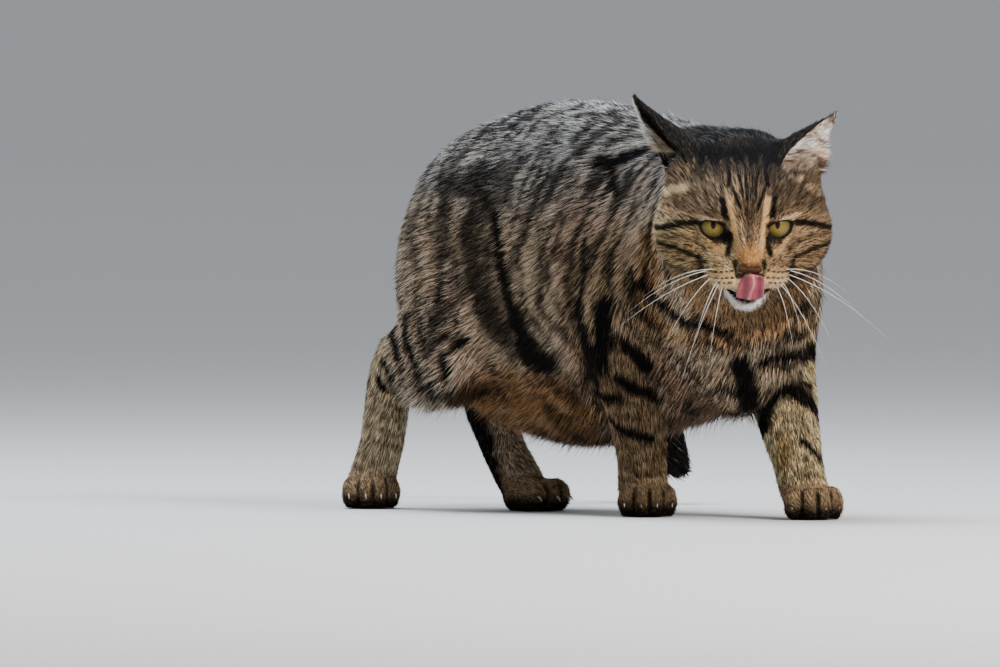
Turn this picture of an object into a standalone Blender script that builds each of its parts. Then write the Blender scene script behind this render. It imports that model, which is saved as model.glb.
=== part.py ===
"""A life-size standing model of a short-haired tabby tomcat, caught in mid-walk with a lowered, turned head.

Sizes are written in millimetres and multiplied by MM. +Z is up, the cat walks towards -Y, and +X is its left.
The origin is on the floor, under the middle of the model's box.
The cat is blocked out from lofts and ellipsoids, fused by a voxel remesh, smoothed, thinned to facets,
and then parted by thin cuts into the parts that a person would name.
"""

import math
from functools import partial

import bmesh
import bpy
from mathutils import Matrix, Vector

MM = 0.001
GAP = 0.35  # the thin cut between two neighbouring parts
LEFT, RIGHT = 1, -1
SIDES = {"left": LEFT, "right": RIGHT}

# The trunk from the root of the tail to the breast: place along the body, top line, underline and half width.
TRUNK_STATIONS = {
    "tail_root": (147, 194, 136, 22),
    "croup": (128, 224, 104, 49),
    "hips": (92, 248, 78, 63),
    "loin": (45, 260, 55, 67),
    "waist": (-5, 261, 47, 69),
    "ribs": (-55, 254, 54, 66),
    "withers": (-100, 244, 62, 61),
    "shoulder_point": (-145, 222, 70, 54),
    "brisket": (-176, 186, 96, 32),
}
TRUNK_SQUARENESS = 2.2

# The head: the middle between the eyeballs' centres, how far it turns right and dips, and its own sizes.
HEAD_CENTRE = (-48, -207, 181)
HEAD_TURN = math.radians(-35)
HEAD_PITCH = math.radians(15)
EYE_SPACING = 41
EYE_HEIGHT = 2.4
EYE_RADIUS = 11
LID_THICKNESS = 1.9
EYE_OPENING = (9.4, 4.3, 6.4)  # half width, height above and depth below the corners' line
EYE_SLANT = math.radians(12)
EYE_SPLAY = math.radians(9)
NOSE_TIP = (0, -36, -13.5)
# Each ear in head space: the feet of its inner edge and of its outer edge, the back of its foot, and its tip.
EARS = {
    "right": ((-37, 16, 39), (-54, 30, 17), (-30, 40, 48), (-69, 45, 73.5)),
    "left": ((24, 15, 41), (50, 22, 28), (30, 42, 47), (60, 52, 62)),
}
EAR_THICKNESS = 2.6
# Bumps that build the head, in head space: a middle and half sizes. The paired ones are mirrored.
HEAD_BUMPS = (
    ((0, 24, 9), (45, 42, 37)),  # braincase
    ((0, 4, 13), (30, 24, 21)),  # forehead
    ((0, 12, -18), (40, 34, 27)),  # lower face
    ((0, -13, -28), (21, 19, 13)),  # upper jaw
    ((0, -19, -40), (12.5, 12, 8.5)),  # chin
    ((0, -2, -36), (24, 24, 13)),  # lower jaw
)
PAIRED_HEAD_BUMPS = (
    ((34, 19, -7), (22, 24, 27)),  # cheek
    ((27, 12, -20), (20, 22, 20)),  # jowl
    ((19, 2, 8), (15, 13, 9)),  # brow
    ((17, -11, -15), (13, 15, 10)),  # cheekbone below the eye
    ((12.5, -22, -24), (14, 13, 10.5)),  # whisker pad
    ((36, 26, 24), (13, 15, 16)),  # root of the ear
    ((38, 23, 8), (14, 18, 18)),  # temple
)
NOSE_BRIDGE = ((0, 8, 11, 14, 13), (0, -8, 4, 11.5, 12), (0, -20, -4, 9.5, 11), (0, -27, -12, 8.5, 8))
# The throat and the breast that hang below the head.
THROAT = (((-22, -172, 160), (42, 36, 50)), ((-14, -162, 132), (44, 37, 48)), ((-2, -152, 104), (42, 34, 40)))
# The neck from the withers to the back of the skull: a place, half a width and half a depth. The last two
# stations are in head space.
NECK_STATIONS = ((0, -70, 184, 56, 61), (-3, -118, 182, 58, 63), (-13, -152, 182, 56, 60))
NAPE_STATIONS = ((0, 38, 6, 50, 48), (0, 12, 2, 40, 34))
# The bare pad of the nose, from its top down: height above and depth behind the tip, and half a width.
NOSE_STATIONS = ((3.2, 4.4, 4.6), (1.0, 3.4, 6.4), (-2.6, 3.4, 5.0), (-5.6, 4.6, 2.4))
NOSE_HALF_THICKNESS = 3.4
MOUTH_SLIT = ((0.5, -14, -35.4), (17, 17.5, 1.1))
# The tongue licks up over the lip: its middle line in head space, with a half width and a half thickness.
TONGUE_PATH = (
    (-1.4, -20, -34.0, 8.0, 2.0),
    (-1.2, -27, -36.0, 8.8, 2.2),
    (-0.9, -33, -34.5, 9.0, 2.2),
    (-0.6, -35.8, -28.0, 8.8, 2.0),
    (-0.4, -36.4, -21.0, 7.8, 1.8),
)

# Each leg's bones, top to bottom, as joint centres with a half width across and a half depth along the body.
HIND_LEG_RADII = ((18, 32), (29, 42), (27, 42), (22, 31), (19, 27), (15, 18), (14.5, 15.5), (15, 15))
FORE_LEG_RADII = ((14, 34), (23, 40), (25, 33), (24, 27), (21.5, 21.5), (16.5, 17), (16, 15.5))
LEG_JOINTS = {
    "hind_right": (
        (-34, 96, 204), (-38, 92, 168), (-47, 82, 132), (-55, 62, 100), (-46, 115, 100), (-37, 150, 85),
        (-38, 159, 45), (-40, 168, 18),
    ),
    "hind_left": (
        (34, 96, 204), (38, 92, 168), (46, 74, 134), (50, 38, 106), (38, 84, 90), (24, 130, 78),
        (14, 105, 44), (6, 74, 18),
    ),
    "fore_right": (
        (-34, -96, 214), (-45, -110, 172), (-49, -98, 140), (-46, -84, 112), (-35, -85, 78), (-25, -80, 42),
        (-22, -78, 18),
    ),
    "fore_left": (
        (34, -100, 212), (47, -118, 172), (55, -119, 138), (50, -123, 106), (35, -147, 72), (27, -168, 38),
        (22, -181, 18),
    ),
}
# Each paw's middle on the floor, and the way that its toes point.
PAWS = {
    "hind_right": ((-40, 170), math.radians(-34)),
    "hind_left": ((3, 60), math.radians(8)),
    "fore_right": ((-21, -80), math.radians(-36)),
    "fore_left": ((20, -189), math.radians(-30)),
}
PAW_HALF_WIDTH = 18
TOE_HALF_WIDTH = 6.2
TOE_HEIGHT = 24
TOE_REACH = 12
TOE_PLACES = (-1.5, -0.5, 0.5, 1.5)  # in steps to either side of the paw's middle
PAW_PAD = ((0, 3, 10), (16, 19, 14))
# A claw in its toe's frame, from its root to its point: a place, half a width and half a depth.
CLAW_LIFT = 3.4
CLAW_STATIONS = ((0, 2.4, 1.0, 0.9, 1.3), (0, -0.6, 0.9, 0.85, 1.2), (0, -2.6, -1.2, 0.5, 0.6))

# The tail swings round the left flank, and its tip hangs.
TAIL_PATH = (
    (0, 138, 182), (14, 172, 164), (46, 196, 138), (90, 202, 112), (130, 185, 97), (153, 153, 86),
    (161, 127, 64), (163, 110, 28),
)
TAIL_RADII = (17, 15.5, 14, 13.5, 13.5, 14, 14.5, 12.5)

VOXEL = 1.7
FINE_TRIANGLES = 7200
BODY_TRIANGLES = 3550
FACE_MIDDLE, FACE_REACH = Vector((0, -12, -10)), 42
PAW_TOP = 24
FLAT_ANGLE = math.radians(7)

# Where the body is parted.
PAW_ZONE = 36
LOWER_LEG_ZONE = 30
LOWER_LEG_RISE = 26
UPPER_LEG_ZONES = {
    "hind_right": ((-86, 88, 122), (52, 66, 68)),
    "hind_left": ((86, 82, 122), (54, 68, 68)),
    "fore_right": ((-82, -98, 128), (50, 48, 64)),
    "fore_left": ((88, -120, 128), (52, 50, 64)),
}
HEAD_ZONE = ((0, -4, 0), (75, 56, 66))
TAIL_TIP_ZONE = ((163, 104, 30), (34, 40, 44))
TAIL_MIDDLE_AT = 92
TAIL_BASE_AT = 152
NECK_AT, NECK_NORMAL = (0, -125, 180), (-0.25, -1, 0.25)
CHEST_AT = -45
RUMP_AT = 62

# The colour and the roughness of each kind of part; the rest have the coat's.
FINISHES = {
    "coat": ((0.22, 0.18, 0.14), 0.85),
    "ear": ((0.34, 0.26, 0.21), 0.8),
    "eye": ((0.35, 0.33, 0.08), 0.08),
    "nose": ((0.23, 0.09, 0.06), 0.45),
    "tongue": ((0.70, 0.28, 0.30), 0.35),
    "claw": ((0.80, 0.76, 0.68), 0.4),
}


def clear_scene():
    for obj in list(bpy.data.objects):
        bpy.data.objects.remove(obj)


def new_collection(name, hidden=False):
    made = bpy.data.collections.new(name)
    bpy.context.scene.collection.children.link(made)
    made.hide_render = hidden
    return made


def place(name, mesh, where):
    obj = bpy.data.objects.new(name, mesh)
    where.objects.link(obj)
    return obj


def mesh_from(bm, name):
    """Turns a bmesh in millimetres into a mesh in metres."""
    bmesh.ops.scale(bm, vec=(MM, MM, MM), verts=bm.verts)
    mesh = bpy.data.meshes.new(name)
    bm.to_mesh(mesh)
    bm.free()
    return mesh


def finish(name, colour, roughness):
    material = bpy.data.materials.new(name)
    material.use_nodes = True
    shader = material.node_tree.nodes["Principled BSDF"]
    shader.inputs["Base Color"].default_value = (*colour, 1)
    shader.inputs["Roughness"].default_value = roughness
    return material


def head_frame():
    """Head space to body space, in millimetres: x to the cat's left, y back, z up, from between its eyes."""
    turn = Matrix.Rotation(HEAD_TURN, 4, "Z")
    dip = Matrix.Rotation(HEAD_PITCH, 4, "X")
    return Matrix.Translation(HEAD_CENTRE) @ turn @ dip


def catmull_rom(stations, steps):
    """Points on a smooth curve through the stations, which are tuples of any one length."""
    stations = [Vector(s) for s in stations]
    ends = [2 * stations[0] - stations[1], *stations, 2 * stations[-1] - stations[-2]]
    points = []
    for a, b, c, d in zip(ends, ends[1:], ends[2:], ends[3:]):
        for i in range(steps):
            t = i / steps
            square = (2 * a - 5 * b + 4 * c - d) * t**2
            cube = (3 * b - a - 3 * c + d) * t**3
            points.append(0.5 * (2 * b + (c - a) * t + square + cube))
    return [*points, stations[-1]]


def superellipse(angle, squareness):
    c, s = math.cos(angle), math.sin(angle)
    power = 2 / squareness
    return math.copysign(abs(c) ** power, c), math.copysign(abs(s) ** power, s)


def loft(bm, rings):
    """Joins rings of as many points each into a closed body, with a flat cap at either end."""
    made = [[bm.verts.new(p) for p in ring] for ring in rings]
    count = len(made[0])
    for first, second in zip(made, made[1:]):
        for i in range(count):
            j = (i + 1) % count
            bm.faces.new((first[i], first[j], second[j], second[i]))
    bm.faces.new(made[0][::-1])
    bm.faces.new(made[-1])


def add_tube(bm, stations, across=(1, 0, 0), steps=5, ring=22, squareness=2.0, domes=(0.5, 0.8, 0.95)):
    """A limb: stations are (x, y, z, half width across, half depth), and its ends are rounded."""
    path = catmull_rom(stations, steps)
    centres = [Vector(p[:3]) for p in path]
    tangents = []
    for i in range(len(path)):
        before, after = centres[max(i - 1, 0)], centres[min(i + 1, len(path) - 1)]
        tangents.append((after - before).normalized())
    sections = [(c, t, p[3], p[4]) for c, t, p in zip(centres, tangents, path)]
    start, end = sections[0], sections[-1]
    front = [(start[0] - start[1] * min(start[2:]) * d, *start[1:], d) for d in reversed(domes)]
    back = [(end[0] + end[1] * min(end[2:]) * d, *end[1:], d) for d in domes]
    rings = []
    for centre, tangent, wide, deep, dome in [*front, *[(*s, 0) for s in sections], *back]:
        side = Vector(across)
        side = (side - side.dot(tangent) * tangent).normalized()
        up = tangent.cross(side)
        shrink = math.sqrt(1 - dome * dome)
        points = []
        for k in range(ring):
            u, v = superellipse(2 * math.pi * k / ring, squareness)
            points.append(centre + side * (u * wide * shrink) + up * (v * deep * shrink))
        rings.append(points)
    loft(bm, rings)


def add_ellipsoid(bm, centre, radii, frame=Matrix.Identity(4), subdivisions=3):
    shape = frame @ Matrix.Translation(centre) @ Matrix.Diagonal((*radii, 1))
    bmesh.ops.create_icosphere(bm, subdivisions=subdivisions, radius=1, matrix=shape)


def add_trunk(bm):
    stations = []
    for along, top, bottom, half_width in TRUNK_STATIONS.values():
        stations.append((0, along, (top + bottom) / 2, half_width, (top - bottom) / 2))
    add_tube(bm, stations, ring=40, squareness=TRUNK_SQUARENESS)


def in_frame(frame, stations):
    """The stations with their places taken from a frame to body space."""
    return [(*(frame @ Vector(station[:3])), *station[3:]) for station in stations]


def across_head(head):
    return head.to_3x3() @ Vector((1, 0, 0))


def add_neck(bm, head):
    add_tube(bm, [*NECK_STATIONS, *in_frame(head, NAPE_STATIONS)], ring=32)
    for centre, radii in THROAT:
        add_ellipsoid(bm, centre, radii)


def add_head(bm, head):
    for centre, radii in HEAD_BUMPS:
        add_ellipsoid(bm, centre, radii, frame=head)
    for side in (LEFT, RIGHT):
        for (across, back, up), radii in PAIRED_HEAD_BUMPS:
            add_ellipsoid(bm, (side * across, back, up), radii, frame=head)
        lids = (side * EYE_SPACING / 2, 0.5, EYE_HEIGHT)
        add_ellipsoid(bm, lids, (EYE_RADIUS + LID_THICKNESS,) * 3, frame=head)
    add_tube(bm, in_frame(head, NOSE_BRIDGE), across=across_head(head), ring=18)


def add_legs(bm):
    for name, joints in LEG_JOINTS.items():
        radii = HIND_LEG_RADII if name.startswith("hind") else FORE_LEG_RADII
        add_tube(bm, [(*joint, *size) for joint, size in zip(joints, radii)])


def toe_frame(place_across):
    """One toe's frame in paw space, with its origin in the toe's middle."""
    across = place_across * (2 * PAW_HALF_WIDTH - 2 * TOE_HALF_WIDTH) / 3
    forward = -15 if abs(place_across) < 1 else -8.5
    turn = Matrix.Rotation(math.radians(9) * place_across, 4, "Z")
    tilt = Matrix.Rotation(math.radians(16), 4, "X")
    return Matrix.Translation((across, forward, TOE_HEIGHT * 0.42)) @ turn @ tilt


def add_paw(bm, frame):
    add_ellipsoid(bm, *PAW_PAD, frame=frame)
    for place_across in TOE_PLACES:
        radii = (TOE_HALF_WIDTH + 0.9, TOE_REACH, TOE_HEIGHT / 2)
        add_ellipsoid(bm, (0, 0, 0), radii, frame=frame @ toe_frame(place_across))


def add_tail(bm):
    add_tube(bm, [(*p, r, r) for p, r in zip(TAIL_PATH, TAIL_RADII)], across=(0.05, 0.1, 1), ring=18)


def evaluated(obj, name):
    """The object's mesh with its modifiers applied."""
    graph = bpy.context.evaluated_depsgraph_get()
    mesh = bpy.data.meshes.new_from_object(obj.evaluated_get(graph))
    mesh.name = name
    return mesh


def weights(obj, name, function):
    """A vertex group whose weight at a vertex is the function of its place in millimetres."""
    group = obj.vertex_groups.new(name=name)
    for vertex in obj.data.vertices:
        group.add([vertex.index], function(vertex.co / MM), "REPLACE")
    return name


def fused_body(where, head):
    """The whole cat as one smooth closed body, softened most where it is plain."""
    bm = bmesh.new()
    add_trunk(bm)
    add_neck(bm, head)
    add_head(bm, head)
    add_legs(bm)
    for name in PAWS:
        add_paw(bm, paw_frame(name))
    add_tail(bm)
    blank = place("blank", mesh_from(bm, "blank"), where)
    remesh = blank.modifiers.new("fuse", "REMESH")
    remesh.mode = "VOXEL"
    remesh.voxel_size = VOXEL * MM
    blank.data = evaluated(blank, "blank")
    blank.modifiers.clear()

    to_head = head.inverted()

    def plainness(point):
        x, y, z = to_head @ point
        from_face = math.hypot(x / 60, (y - 5) / 60, z / 48)
        off_head = min(max((from_face - 1) / 0.3, 0), 1)
        off_legs = min(max((point.z - 20) / 90, 0), 1)
        on_tail = 0.7 if max(point.x - 75, point.y - 155) > 0 else 0
        return min(off_head, off_legs, 1 - on_tail)

    plain = weights(blank, "plain", plainness)
    soften = blank.modifiers.new("soften", "SMOOTH")
    soften.iterations = 6
    melt = blank.modifiers.new("melt", "SMOOTH")
    melt.iterations = 90
    melt.vertex_group = plain
    blank.data = evaluated(blank, "blank")
    blank.modifiers.clear()
    return blank


def keep_biggest(mesh):
    """Drops every loose crumb of a mesh, and leaves its biggest piece."""
    bm = bmesh.new()
    bm.from_mesh(mesh)
    unseen, biggest = set(bm.verts), set()
    while unseen:
        piece, edge_of_piece = set(), [unseen.pop()]
        while edge_of_piece:
            vertex = edge_of_piece.pop()
            piece.add(vertex)
            for edge in vertex.link_edges:
                other = edge.other_vert(vertex)
                if other in unseen:
                    unseen.remove(other)
                    edge_of_piece.append(other)
        if len(piece) > len(biggest):
            biggest = piece
    bmesh.ops.delete(bm, geom=[v for v in bm.verts if v not in biggest], context="VERTS")
    bm.to_mesh(mesh)
    bm.free()


def boolean(obj, operation, cutter_bm, cutters):
    """Cuts the object by a body that is built in millimetres, and keeps the cutter as a hidden guide."""
    cutter = place(f"cut_{len(cutters.objects):03}", mesh_from(cutter_bm, "cut"), cutters)
    cutter.hide_render = True
    cutter.display_type = "WIRE"
    step = obj.modifiers.new("cut", "BOOLEAN")
    step.operation = operation
    step.solver = "EXACT"
    step.object = cutter
    obj.data = evaluated(obj, obj.name)
    obj.modifiers.clear()


def triangle_count(mesh):
    return sum(len(polygon.vertices) - 2 for polygon in mesh.polygons)


def thin_facets(blank, head):
    """Thins the body to facets, finest on the face and the paws."""
    to_head = head.inverted()

    def coarseness(point):
        face = (to_head @ point - FACE_MIDDLE).length
        return 1 if face > FACE_REACH and point.z > PAW_TOP else 0

    for triangles, spared in ((FINE_TRIANGLES, False), (BODY_TRIANGLES, True)):
        thin = blank.modifiers.new("thin", "DECIMATE")
        thin.ratio = triangles / triangle_count(blank.data)
        if spared:
            thin.vertex_group = weights(blank, "coarse", coarseness)
            thin.vertex_group_factor = 0
        blank.data = evaluated(blank, "blank")
        blank.modifiers.clear()
    blank.vertex_groups.clear()


def cut_soles(blank, cutters):
    """Cuts the paws flat at the floor."""
    floor = bmesh.new()
    block = Matrix.Translation((0, 0, -30)) @ Matrix.Diagonal((800, 800, 60, 1))
    bmesh.ops.create_cube(floor, size=1, matrix=block)
    boolean(blank, "DIFFERENCE", floor, cutters)


def ear_sheet(inner, outer, back, tip):
    """One ear as a thin curved triangle: rows from the foot to the tip, each one bowed backwards."""
    inner, outer, back, tip = (Vector(p) for p in (inner, outer, back, tip))
    rows, columns = 6, 7
    sink = (tip - (inner + outer + back) / 3).normalized() * -7
    bow = back - (inner + outer) / 2
    bm = bmesh.new()
    grid = []
    for i in range(rows):
        t = i / (rows - 1)
        width = (1 - t) ** 0.82
        row = []
        for j in range(columns):
            s = j / (columns - 1)
            foot = inner.lerp(outer, s) + bow * (4 * s * (1 - s)) ** 0.75 * (1 - 0.3 * t)
            rim = inner.lerp(outer, s).lerp(tip, t)
            point = tip + (foot - tip) * max(width, 0.06) + sink * (1 - t) ** 3
            row.append(bm.verts.new(point.lerp(rim, 0.1 * t)))
        grid.append(row)
    for lower, upper in zip(grid, grid[1:]):
        for j in range(columns - 1):
            bm.faces.new((lower[j], lower[j + 1], upper[j + 1], upper[j]))
    return bm


def make_ear(side, head, cat):
    bm = ear_sheet(*EARS[side])
    bm.transform(head)
    ear = place(f"ear_{side}", mesh_from(bm, f"ear_{side}"), cat)
    thicken = ear.modifiers.new("thicken", "SOLIDIFY")
    thicken.thickness = EAR_THICKNESS * MM
    thicken.offset = 0
    ear.data = evaluated(ear, ear.name)
    ear.modifiers.clear()
    bm = bmesh.new()
    bm.from_mesh(ear.data)
    bmesh.ops.recalc_face_normals(bm, faces=bm.faces)
    bm.to_mesh(ear.data)
    bm.free()
    return ear


def grown_copy(mesh, gap):
    """A bmesh in millimetres of the mesh, pushed outwards by the gap."""
    bm = bmesh.new()
    bm.from_mesh(mesh)
    bmesh.ops.scale(bm, vec=(1 / MM,) * 3, verts=bm.verts)
    bm.normal_update()
    shifts = [vertex.normal * gap for vertex in bm.verts]
    for vertex, shift in zip(bm.verts, shifts):
        vertex.co += shift
    return bm


def eye_axes(side, head):
    """The eye's own frame in body space: its origin at the eyeball's centre, -y out of the pupil, z up."""
    splay = Matrix.Rotation(SIDES[side] * EYE_SPLAY, 4, "Z")
    return head @ Matrix.Translation((SIDES[side] * EYE_SPACING / 2, 0, EYE_HEIGHT)) @ splay


def make_eye(side, head, cat):
    bm = bmesh.new()
    bmesh.ops.create_uvsphere(bm, u_segments=14, v_segments=8, radius=EYE_RADIUS, matrix=eye_axes(side, head))
    return place(f"eye_{side}", mesh_from(bm, f"eye_{side}"), cat)


def socket(side, head):
    bm = bmesh.new()
    size = EYE_RADIUS + GAP
    bmesh.ops.create_icosphere(bm, subdivisions=3, radius=size, matrix=eye_axes(side, head))
    return bm


def lid_opening(side, head):
    """A prism in the shape of an almond, from the eyeball's centre out through the lids."""
    half_width, above, below = EYE_OPENING
    slant = Matrix.Rotation(-SIDES[side] * EYE_SLANT, 4, "Y")
    frame = eye_axes(side, head) @ slant
    outline = []
    for k in range(20):
        angle = 2 * math.pi * k / 20
        height = above if math.sin(angle) > 0 else below
        outline.append((half_width * math.cos(angle), height * math.sin(angle)))
    bm = bmesh.new()
    rings = []
    for depth, grow in ((-2, 1), (-30, 1.1)):
        rings.append([frame @ Vector((x * grow, depth, z * grow)) for x, z in outline])
    loft(bm, rings)
    bmesh.ops.recalc_face_normals(bm, faces=bm.faces)
    return bm


def tongue_body(head, grow=0.0):
    bm = bmesh.new()
    stations = [(*place, wide + grow, thick + grow) for *place, wide, thick in in_frame(head, TONGUE_PATH)]
    add_tube(bm, stations, across=across_head(head), steps=1, ring=10, squareness=2.6, domes=(0.6, 0.95))
    return bm


def nose_body(head, grow=0.0):
    """The bare pad of the nose: wide above, narrow below."""
    bm = bmesh.new()
    x, y, z = NOSE_TIP
    thickness = NOSE_HALF_THICKNESS + grow
    stations = [(x, y + back, z + up, wide + grow, thickness) for up, back, wide in NOSE_STATIONS]
    add_tube(bm, in_frame(head, stations), across=across_head(head), steps=1, ring=12, domes=(0.8,))
    return bm


def mouth_slit(head):
    bm = bmesh.new()
    add_ellipsoid(bm, *MOUTH_SLIT, frame=head, subdivisions=2)
    return bm


def paw_frame(name):
    middle, heading = PAWS[name]
    return Matrix.Translation((*middle, 0)) @ Matrix.Rotation(heading, 4, "Z")


def make_claws(name, cat):
    """Four small curved claws that stand just clear of the toes."""
    made = []
    for number, place_across in enumerate(TOE_PLACES, start=1):
        toe = paw_frame(name) @ toe_frame(place_across)
        root = toe @ Matrix.Translation((0, -TOE_REACH, CLAW_LIFT))
        bm = bmesh.new()
        across = root.to_3x3() @ Vector((1, 0, 0))
        add_tube(bm, in_frame(root, CLAW_STATIONS), across=across, steps=1, ring=5, domes=())
        claw_name = f"claw_{name}_{number}"
        made.append(place(claw_name, mesh_from(bm, claw_name), cat))
    return made


def cylinder(bottom, top, radius):
    bottom, top = Vector(bottom), Vector(top)
    turn = (top - bottom).to_track_quat("Z", "Y").to_matrix().to_4x4()
    bm = bmesh.new()
    bmesh.ops.create_cone(
        bm,
        cap_ends=True,
        segments=20,
        radius1=radius,
        radius2=radius,
        depth=(top - bottom).length,
        matrix=Matrix.Translation((bottom + top) / 2) @ turn,
    )
    return bm


def ellipsoid(centre, radii, frame=Matrix.Identity(4)):
    bm = bmesh.new()
    add_ellipsoid(bm, centre, radii, frame=frame, subdivisions=2)
    return bm


def slab(centre, normal, size=400):
    """A big block whose one face passes through the centre, and which lies on the normal's side of it."""
    turn = Vector(normal).to_track_quat("Z", "Y").to_matrix().to_4x4()
    bm = bmesh.new()
    shape = Matrix.Translation(centre) @ turn @ Matrix.Translation((0, 0, size / 2))
    bmesh.ops.create_cube(bm, size=size, matrix=shape)
    return bm


def lower_leg_zone(name, gap):
    """A fat cylinder round the leg from below its ankle to its hock or, on a foreleg, its elbow's end."""
    joints = LEG_JOINTS[name]
    hind = name.startswith("hind")
    ankle = Vector(joints[-1])
    joint = Vector(joints[-3] if hind else joints[-4])
    along = (joint - ankle).normalized()
    top = joint + along * ((LOWER_LEG_RISE if hind else 0) + gap)
    return cylinder(ankle - along * 30, top, LOWER_LEG_ZONE + gap)


def paw_zone(name, gap):
    middle = PAWS[name][0]
    return cylinder((*middle, -20), (*middle, PAW_TOP + gap), PAW_ZONE + gap)


def round_zone(place_and_radii, gap, frame=Matrix.Identity(4)):
    centre, radii = place_and_radii
    return ellipsoid(centre, [radius + gap for radius in radii], frame=frame)


def plane_zone(at, normal, gap):
    return slab(Vector(at) - Vector(normal).normalized() * gap, normal)


def zones(head):
    """Where the body is parted, in order: each part's name and a builder of its region, grown by a gap."""
    made = {}
    for name in PAWS:
        made[f"paw_{name}"] = partial(paw_zone, name)
    for name in LEG_JOINTS:
        made[f"lower_leg_{name}"] = partial(lower_leg_zone, name)
    for name, place_and_radii in UPPER_LEG_ZONES.items():
        made[f"upper_leg_{name}"] = partial(round_zone, place_and_radii)
    made["head"] = partial(round_zone, HEAD_ZONE, frame=head)
    made["tail_tip"] = partial(round_zone, TAIL_TIP_ZONE)
    made["tail_middle"] = partial(plane_zone, (TAIL_MIDDLE_AT, 200, 120), (1, 0, 0))
    made["tail_base"] = partial(plane_zone, (0, TAIL_BASE_AT, 150), (0, 1, 0))
    made["neck"] = partial(plane_zone, NECK_AT, NECK_NORMAL)
    made["chest"] = partial(plane_zone, (0, CHEST_AT, 150), (0, -1, 0))
    made["rump"] = partial(plane_zone, (0, RUMP_AT, 150), (0, 1, 0))
    return made


def part_body(blank, head, cat, cutters):
    """Parts the whole body into its regions. What is left at the end is the belly."""
    for name, region in zones(head).items():
        piece = place(name, blank.data.copy(), cat)
        boolean(piece, "INTERSECT", region(gap=0), cutters)
        boolean(blank, "DIFFERENCE", region(gap=GAP), cutters)
        merge_flat_facets(piece.data)
    blank.name = "belly"
    blank.data.name = "belly"
    merge_flat_facets(blank.data)


def merge_flat_facets(mesh):
    """Joins facets that are all but level with each other, and splits what is left into triangles."""
    bm = bmesh.new()
    bm.from_mesh(mesh)
    bmesh.ops.dissolve_limit(bm, angle_limit=FLAT_ANGLE, verts=bm.verts, edges=bm.edges)
    bmesh.ops.triangulate(bm, faces=bm.faces)
    bm.to_mesh(mesh)
    bm.free()


def centre_on_floor(cat, others):
    """Moves everything so that the origin is under the middle of the model's box."""
    corners = [vertex.co for obj in cat.objects for vertex in obj.data.vertices]
    spans = list(zip(*corners))[:2]
    shift = Vector([-(min(span) + max(span)) / 2 for span in spans] + [0])
    for obj in [*cat.objects, *others.objects]:
        obj.data.transform(Matrix.Translation(shift))
    return shift


def add_face(blank, head, cat, cutters):
    """Sets the eyes, the nose and the tongue into the body, each with a gap around it."""
    for side in SIDES:
        make_eye(side, head, cat)
        boolean(blank, "DIFFERENCE", socket(side, head), cutters)
        boolean(blank, "DIFFERENCE", lid_opening(side, head), cutters)
    boolean(blank, "DIFFERENCE", mouth_slit(head), cutters)
    keep_biggest(blank.data)
    for name, build in (("tongue", tongue_body), ("nose", nose_body)):
        place(name, mesh_from(build(head), name), cat)
        boolean(blank, "DIFFERENCE", build(head, GAP), cutters)


def add_ears_and_claws(blank, head, cat, cutters):
    """Stands the ears and the claws on the body, clear of it by the gap."""
    made = [make_ear(side, head, cat) for side in SIDES]
    for name in PAWS:
        made.extend(make_claws(name, cat))
    for piece in made:
        boolean(piece, "DIFFERENCE", grown_copy(blank.data, GAP), cutters)
        keep_biggest(piece.data)


def dress(cat):
    """Gives each part its own material and hangs them all on one empty."""
    root = bpy.data.objects.new("cat_root", None)
    cat.objects.link(root)
    for obj in cat.objects:
        if obj.type != "MESH":
            continue
        obj.parent = root
        kind = obj.name.split("_")[0]
        colour, roughness = FINISHES.get(kind, FINISHES["coat"])
        obj.data.materials.clear()
        obj.data.materials.append(finish(obj.name, colour, roughness))


clear_scene()
cat = new_collection("cat")
cutters = new_collection("cutters", hidden=True)
head = head_frame()
blank = fused_body(cat, head)
thin_facets(blank, head)
cut_soles(blank, cutters)
add_ears_and_claws(blank, head, cat, cutters)
add_face(blank, head, cat, cutters)
part_body(blank, head, cat, cutters)
shift = centre_on_floor(cat, cutters)
dress(cat)
print("moved onto the origin by", [round(value / MM, 2) for value in shift], "mm")
print("triangles", sum(triangle_count(obj.data) for obj in cat.objects if obj.type == "MESH"))
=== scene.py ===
# %% [markdown]
# # A tabby cat in mid-walk, life size
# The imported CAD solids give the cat's outline, out to the tips of its hairs. This lesson lays one skin
# just under that outline, grows a coat of small solid tufts on it, and then makes what is bare: the eyes,
# the nose, the tongue, the claws and the whiskers. Arrays are in millimetres, as the CAD was, and a mesh
# is given metres when it is made.

import math
from functools import partial, reduce

import bmesh
import bpy
import numpy as np
from mathutils import Matrix, Vector
from mathutils.bvhtree import BVHTree


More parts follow.
